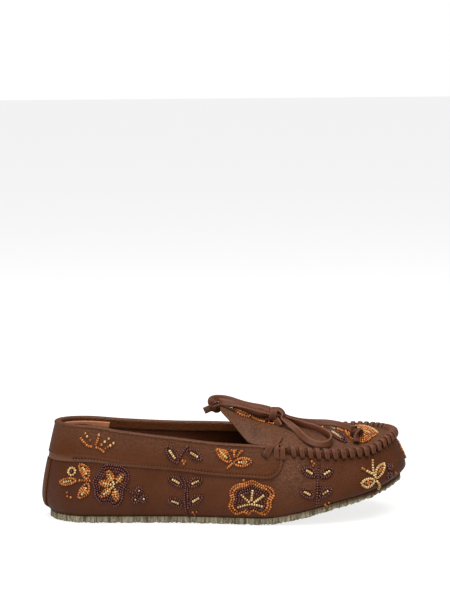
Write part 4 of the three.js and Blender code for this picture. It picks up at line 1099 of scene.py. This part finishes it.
# Sprigs of a wall, drawn flat: mm along the wall from the back seam, and mm above the sole
WALL_SPRIGS = [
    *stem(AMBER, (38.5, 53.5), (42, 50.5), (45.5, 48), (48, 48)), *stem(AMBER, (50, 48.5), (51.5, 54)),
    *stem(AMBER, (50, 47.5), (53, 46.5), (56.5, 44)),
    *dots(AMBER, (57, 46.5), (46, 52), (42, 57), (51.5, 58), (54, 49), (58.5, 47.5)),
    *dots(GOLD, (43.5, 54.5), (51.5, 55.5), (56, 51), (58.5, 53), (60, 48.5), (62, 50)),
    *ring(GOLD, PLUM, (35, 30.5), 2.5),
    *leaf(AMBER, GOLD, (39.5, 25), (27, 22.5), 2.0), *leaf(AMBER, GOLD, (47, 26), (40, 35.5), 2.8, -1.2),
    *leaf(AMBER, GOLD, (47.5, 23.5), (42.5, 13.5), 2.7, 1.0), *stem(AMBER, (41, 25), (49.5, 25)),
    *dots(AMBER, (34, 16.5), (34.5, 14), (37, 13.5)),
    *petals(AMBER, GOLD, (65.5, 22), [
        (60, 31.5), (70.5, 29.5), (55.5, 24), (57, 14.5), (67.5, 12)], 0.25, 1.8),
    *blossom([(PLUM, 1.0), (PLUM, 0.85), (PLUM, 0.7)], [
        (57, 35), (61, 35.5), (66, 34.5), (70.5, 33.5), (74, 29.5), (74, 24.5), (71.5, 20), (70.5, 11),
        (66.5, 8), (62, 11), (58, 10.5), (53.5, 15), (52.5, 20), (51, 24), (54.5, 30)]),
    *ring(PLUM, GOLD, (82, 18.5), 2.2), *ring(PLUM, GOLD, (80, 12.5), 2.2),
    *ring(PLUM, GOLD, (85.5, 13), 2.2), *stem(PLUM, (72.5, 20), (78.5, 16.5)),
    *leaf(PLUM, GOLD, (107, 37), (98.5, 48), 2.7), *leaf(PLUM, GOLD, (112.5, 45.5), (123, 39.5), 2.6),
    *stem(PLUM, (113.5, 49.5), (111.5, 46.5), (108.5, 41.5), (106.5, 35.5)),
    *dots(AMBER, (110, 38.5), (112, 38), (111, 36.5)),
    *leaf(PLUM, GOLD, (111, 21.5), (101, 27), 2.5, -0.5), *leaf(PLUM, GOLD, (115, 21.5), (124, 26), 2.5, 0.5),
    *leaf(PLUM, GOLD, (111, 8.5), (101.5, 12), 2.4, -0.5),
    *leaf(PLUM, GOLD, (116, 9.5), (124.5, 15), 2.4, 0.5),
    *stem(PLUM, (108.5, 29.5), (111.5, 26), (113, 21.5), (112.5, 15), (113, 8), (114.5, 1.5)),
    *stem(PLUM, (113, 28.5), (114, 25), (114.5, 15), (115, 6.5)),
    *dots(AMBER, (118, 4), (120.5, 4.5), (119, 2.5)),
    *leaf(AMBER, GOLD, (143, 38), (133, 47.5), 2.7), *leaf(AMBER, GOLD, (145, 37.5), (157.5, 38.5), 2.6),
    *stem(AMBER, (145, 48), (145.5, 40.5)), *stem(AMBER, (151.5, 47), (147, 41)),
    *stem(AMBER, (144.5, 37.5), (140.5, 33.5)), *dots(AMBER, (143.5, 47.5), (146.5, 47.5)),
    *stem(GOLD, (150, 17), (156, 11.5)), *stem(GOLD, (158, 20), (157, 12.5)),
    *stem(GOLD, (165.5, 16.5), (158.5, 11.5)),
    *stem(GOLD, (147.5, 8), (152, 9.5), (157, 10.5), (160.5, 10), (164.5, 9)),
    *blossom([(AMBER, 1.0), (AMBER, 0.86), (PLUM, 0.72), (PLUM, 0.56), (PLUM, 0.4)], [
        (144.5, 21), (148, 23), (151.5, 23.5), (158, 25.5), (164.5, 22.5), (168.5, 21.5), (172, 17),
        (169.5, 12), (169.5, 8.5), (165.5, 4), (157.5, 6.5), (155, 4), (152, 5.5), (146.5, 4), (142.5, 8),
        (144, 14), (143, 18)]),
    *dots(AMBER, (152, 26)),
    *leaf(PLUM, GOLD, (200.5, 21.5), (192, 28.5), 2.5, -0.5),
    *leaf(PLUM, GOLD, (204, 20), (213, 22), 2.5, 0.5),
    *leaf(PLUM, GOLD, (197.5, 9), (189.5, 15.5), 2.4, -0.5),
    *leaf(PLUM, GOLD, (201.5, 8), (210, 10.5), 2.4, 0.5),
    *stem(PLUM, (204.5, 28.5), (203, 24.5), (201.5, 18), (200.5, 12), (199, 2.5)),
    *stem(PLUM, (203, 16), (201.5, 9.5), (200.5, 4)),
    *dots(AMBER, (199, 31.5), (200.5, 29.5), (199.5, 28.5), (205, 2), (207.5, 2.5), (206.5, 0.5)),
    *leaf(GOLD, AMBER, (242.5, 8.5), (253, 14.5), 2.5, 0.5),
    *leaf(GOLD, AMBER, (241.5, 7.5), (231, 8.5), 2.6, 0.5),
    *stem(GOLD, (245, 20.5), (242.5, 14), (242, 9.5), (246.5, 0)), *stem(GOLD, (237, 15.5), (241, 12)),
    *dots(AMBER, (234.5, 17.5), (235.5, 16.5)),
    *ring(PLUM, PLUM, (257, 11), 1.9), *ring(PLUM, PLUM, (254.5, 5.5), 1.9), *dots(AMBER, (260.5, 5)),
    *leaf(AMBER, GOLD, (284, 8), (285.5, 22), 3.0),
]
# Sprigs of the apron and the tongue: x and y in mm from the back of the heel and the middle
APRON_SPRIGS = [
    *stem(GOLD, (217.5, 0.5), (222.5, -3)), *stem(GOLD, (216.5, 4.5), (222, 5), (226.5, 0.5)),
    *stem(GOLD, (214.5, 7.5), (219, 14.5)), *stem(GOLD, (219, 23), (224.5, 17.5), (229, 9), (232, 0)),
    *blossom([(AMBER, 1.0), (AMBER, 0.82), (AMBER, 0.64), (AMBER, 0.46), (AMBER, 0.28)], [
        (217, 21), (222, 17.5), (226, 11.5), (229, 4.5), (230.5, -2), (226.5, -6), (223.5, -10), (219.5, -12),
        (215, -11), (210.5, -7), (208.5, 5), (211.5, 16.5)]),
    *leaf(PLUM, GOLD, (207.5, -15.5), (195, 6), 4.2), *leaf(PLUM, GOLD, (206, -13), (196, 4), 2.2),
    *stem(GOLD, (195.5, 18), (201, 12)), *stem(AMBER, (202.5, 10.5), (206.5, 4), (209.5, -4.5)),
    *stem(AMBER, (205, 10.5), (208, 6)), *dots(GOLD, (191.5, 15)),
    *leaf(AMBER, AMBER, (140, -5.5), (129.5, -4), 2.8), *stem(AMBER, (141, -5.5), (145.5, -6), (151, -7)),
    *stem(AMBER, (141.5, -3.5), (147, -4)), *dots(AMBER, (153.5, -7.5), (155, -8), (156.5, -7.5)),
    *leaf(AMBER, GOLD, (139.5, 9), (129.5, 7.5), 2.5), *stem(AMBER, (141, 9), (151.5, 9)),
]


def wall_spot(side):
    """Where a bead of the flat pattern sits: on the wall, or on the band above its lower edge."""
    def spot(flat):
        place, share = flat_place(flat[..., 0], flat[..., 1], side)
        on_band = (share > 1 - band_deep(place) / rise(place)) & (around(place)[0] < BAND_END)
        share = share - 0.9 * np.clip(share - 0.94, 0, None)  # below the rounded top edge
        return skin(place, share, np.where(on_band, CLEAR + BAND_HIDE, 0.0))
    return spot


def apron_spot(flat):
    """Where a bead of the apron sits: its x gives the way, its y the share across."""
    at = (flat[..., 0] - TOP_BACK) / TOP_LONG
    toe = 1 - TOE_WAY * np.arccos(ramp(at, 1 - TOE_RUN, TOE_RUN)) / (np.pi / 2)
    way = np.where(at > 1 - TOE_RUN, toe, way_at(at))
    outer, inner = apron_edge(way, -1.0)[..., 1], apron_edge(way, 1.0)[..., 1]
    return apron_face(way, 2 * (flat[..., 1] - outer) / (inner - outer) - 1)


def sewn(sprigs):
    """Beads at even steps along every row, as place, direction and colour; one that has no room beside the
    beads of the rows before it is left out."""
    places, headings, colours = np.zeros((0, 2)), np.zeros((0, 2)), np.zeros(0, str)
    for colour, line in sprigs:
        place, heading = spaced(line, BEAD_PITCH)
        apart = np.linalg.norm(place[:, None] - places[None], axis=-1)
        free = np.min(apart, axis=1, initial=99) > BEAD_ROOM
        places, headings = np.concatenate([places, place[free]]), np.concatenate([headings, heading[free]])
        colours = np.concatenate([colours, np.full(free.sum(), colour)])
    return places, headings, colours


def bead_grid(beads, spot, colour, lift):
    """Beads of one colour, each a ring whose hole follows its row, with the row's direction and the
    leather's normal taken from short steps on the surface. Gives the grid and a tint for each bead."""
    flat, heading = (beads[k][beads[2] == colour] for k in (0, 1))
    step = 0.3
    left = np.stack([-heading[:, 1], heading[:, 0]], -1)
    ahead, aside = (spot(flat + step * way) - spot(flat - step * way) for way in (heading, left))
    ahead = unit(ahead)
    normal = unit(np.cross(ahead, aside)) * lift
    across = np.cross(normal, ahead)
    number = np.arange(len(flat))
    size = BEAD * (0.95 + 0.07 * np.sin(12.9 * number))
    turn = (2 * np.pi * np.arange(BEAD_TURNS) / BEAD_TURNS)[None, :, None]
    tube = 2 * np.pi * np.arange(BEAD_SIDES) / BEAD_SIDES
    ring_radius = (1 + BEAD_HOLE + (1 - BEAD_HOLE) * np.cos(tube))[None, None, :, None] / 4
    ring_along = (BEAD_LONG * np.sin(tube))[None, None, :, None]
    radial = across[:, None] * np.cos(turn) + normal[:, None] * np.sin(turn)
    middle = spot(flat) + normal * (BEAD_SUNK * size)[:, None]
    shape = radial[:, :, None] * ring_radius + ahead[:, None, None] * ring_along
    grid = middle[:, None, None] + size[:, None, None, None] * shape
    return grid, (0.5 + 0.5 * np.sin(7.7 * number + 1.3 * np.sin(2.1 * number)))[:, None, None]


BEAD_GLASS = {
    AMBER: ((0.36, 0.085, 0.01, 1), (0.7, 0.23, 0.036, 1)),
    PLUM: ((0.075, 0.013, 0.0085, 1), (0.13, 0.031, 0.022, 1)),
    GOLD: ((0.6, 0.35, 0.11, 1), (0.88, 0.62, 0.29, 1)),
}
on_walls, on_apron = sewn(WALL_SPRIGS), sewn(APRON_SPRIGS)
for colour, (dark, light) in BEAD_GLASS.items():
    glass, tree, shader = make_material(f"{colour}_glass")
    set_sockets(tree, shader, {
        "Base Color": add_mix(tree, add_mask(tree, "tint"), dark, light),
        "Roughness": 0.2, "Coat Weight": 0.2, "Coat Roughness": 0.06,
    })
    batches = [bead_grid(on_walls, wall_spot(-1), colour, 1), bead_grid(on_walls, wall_spot(1), colour, -1),
               bead_grid(on_apron, apron_spot, colour, 1)]
    grid, tint = (np.concatenate(part) for part in zip(*batches))
    make_piece(f"beads_{colour}", grid, glass, ring=True, tint=tint)


# Studio: a wide pale floor under soft light from large frames overhead, with the camera low in front of
# the outer side, a long lens that is tipped a little down.
FLOOR_REACH = 12.0
PAPER_SEEN, GLOW_SEEN = (0.42, 0.42, 0.42, 1), 0.78  # the paper as the camera sees it
PAPER_LIT, GLOW_LIT = (0.6, 0.6, 0.6, 1), 0.1  # and for the light that it throws back
ROOM_LIGHT, WHITE = 0.25, (1, 1, 1, 1)
floor_mesh = bpy.data.meshes.new("studio_floor")
corners = FLOOR_REACH * np.array([[-1, -1, 0], [1, -1, 0], [1, 1, 0], [-1, 1, 0]])
floor_mesh.from_pydata(corners.tolist(), [], [[0, 1, 2, 3]])
floor = bpy.data.objects.new("studio_floor", floor_mesh)
bpy.context.collection.objects.link(floor)
paper, tree, shader = make_material("white_paper")
seen = add_node(tree, "LightPath").outputs["Is Camera Ray"]
set_sockets(tree, shader, {
    "Base Color": add_mix(tree, seen, PAPER_LIT, PAPER_SEEN), "Roughness": 0.9, "Specular IOR Level": 0.1,
    "Emission Color": WHITE, "Emission Strength": add_range(tree, seen, 0, 1, GLOW_LIT, GLOW_SEEN),
})
floor_mesh.materials.append(paper)


def soft_box(name, spot, aim, wide, deep, power):
    """A rectangular light at a spot, turned so that it shines at its aim."""
    lamp = bpy.data.lights.new(name, "AREA")
    lamp.shape, lamp.size, lamp.size_y, lamp.energy = "RECTANGLE", wide, deep, power
    stand = bpy.data.objects.new(name, lamp)
    stand.location = spot
    way = np.array(aim) - np.array(spot)
    level = np.hypot(way[0], way[1])
    stand.rotation_euler = (np.arctan2(level, -way[2]), 0, np.arctan2(way[1], way[0]) - np.pi / 2)
    bpy.context.collection.objects.link(stand)


LIT_POINT = (0.0, 0.0, 0.03)
soft_box("overhead_light", (0.05, -0.35, 1.5), LIT_POINT, 1.8, 1.2, 30)
soft_box("front_fill", (-0.9, -1.7, 0.9), LIT_POINT, 1.2, 0.8, 7)

scene = bpy.context.scene
scene.world = bpy.data.worlds.new("studio_air")
scene.world.use_nodes = True
air = scene.world.node_tree
seen = add_node(air, "LightPath").outputs["Is Camera Ray"]
set_sockets(air, air.nodes["Background"], {
    "Color": WHITE, "Strength": add_range(air, seen, 0, 1, ROOM_LIGHT, 1)})
scene.view_settings.view_transform = "Standard"

LENS, FRAME_TALL = 130.7, 36.0  # mm, the tall side of the 450 x 600 picture
CAMERA_AT = (0.0032, -1.4724, 0.3192)
LOOKS_DOWN, ROLLED = np.radians(6.645), np.radians(0.5)
lens = bpy.data.cameras.new("camera")
lens.lens, lens.sensor_height, lens.sensor_fit = LENS, FRAME_TALL, "VERTICAL"
camera = bpy.data.objects.new("camera", lens)
camera.location = CAMERA_AT
camera.rotation_euler = (np.pi / 2 - LOOKS_DOWN, ROLLED, 0)
bpy.context.collection.objects.link(camera)
scene.camera = camera
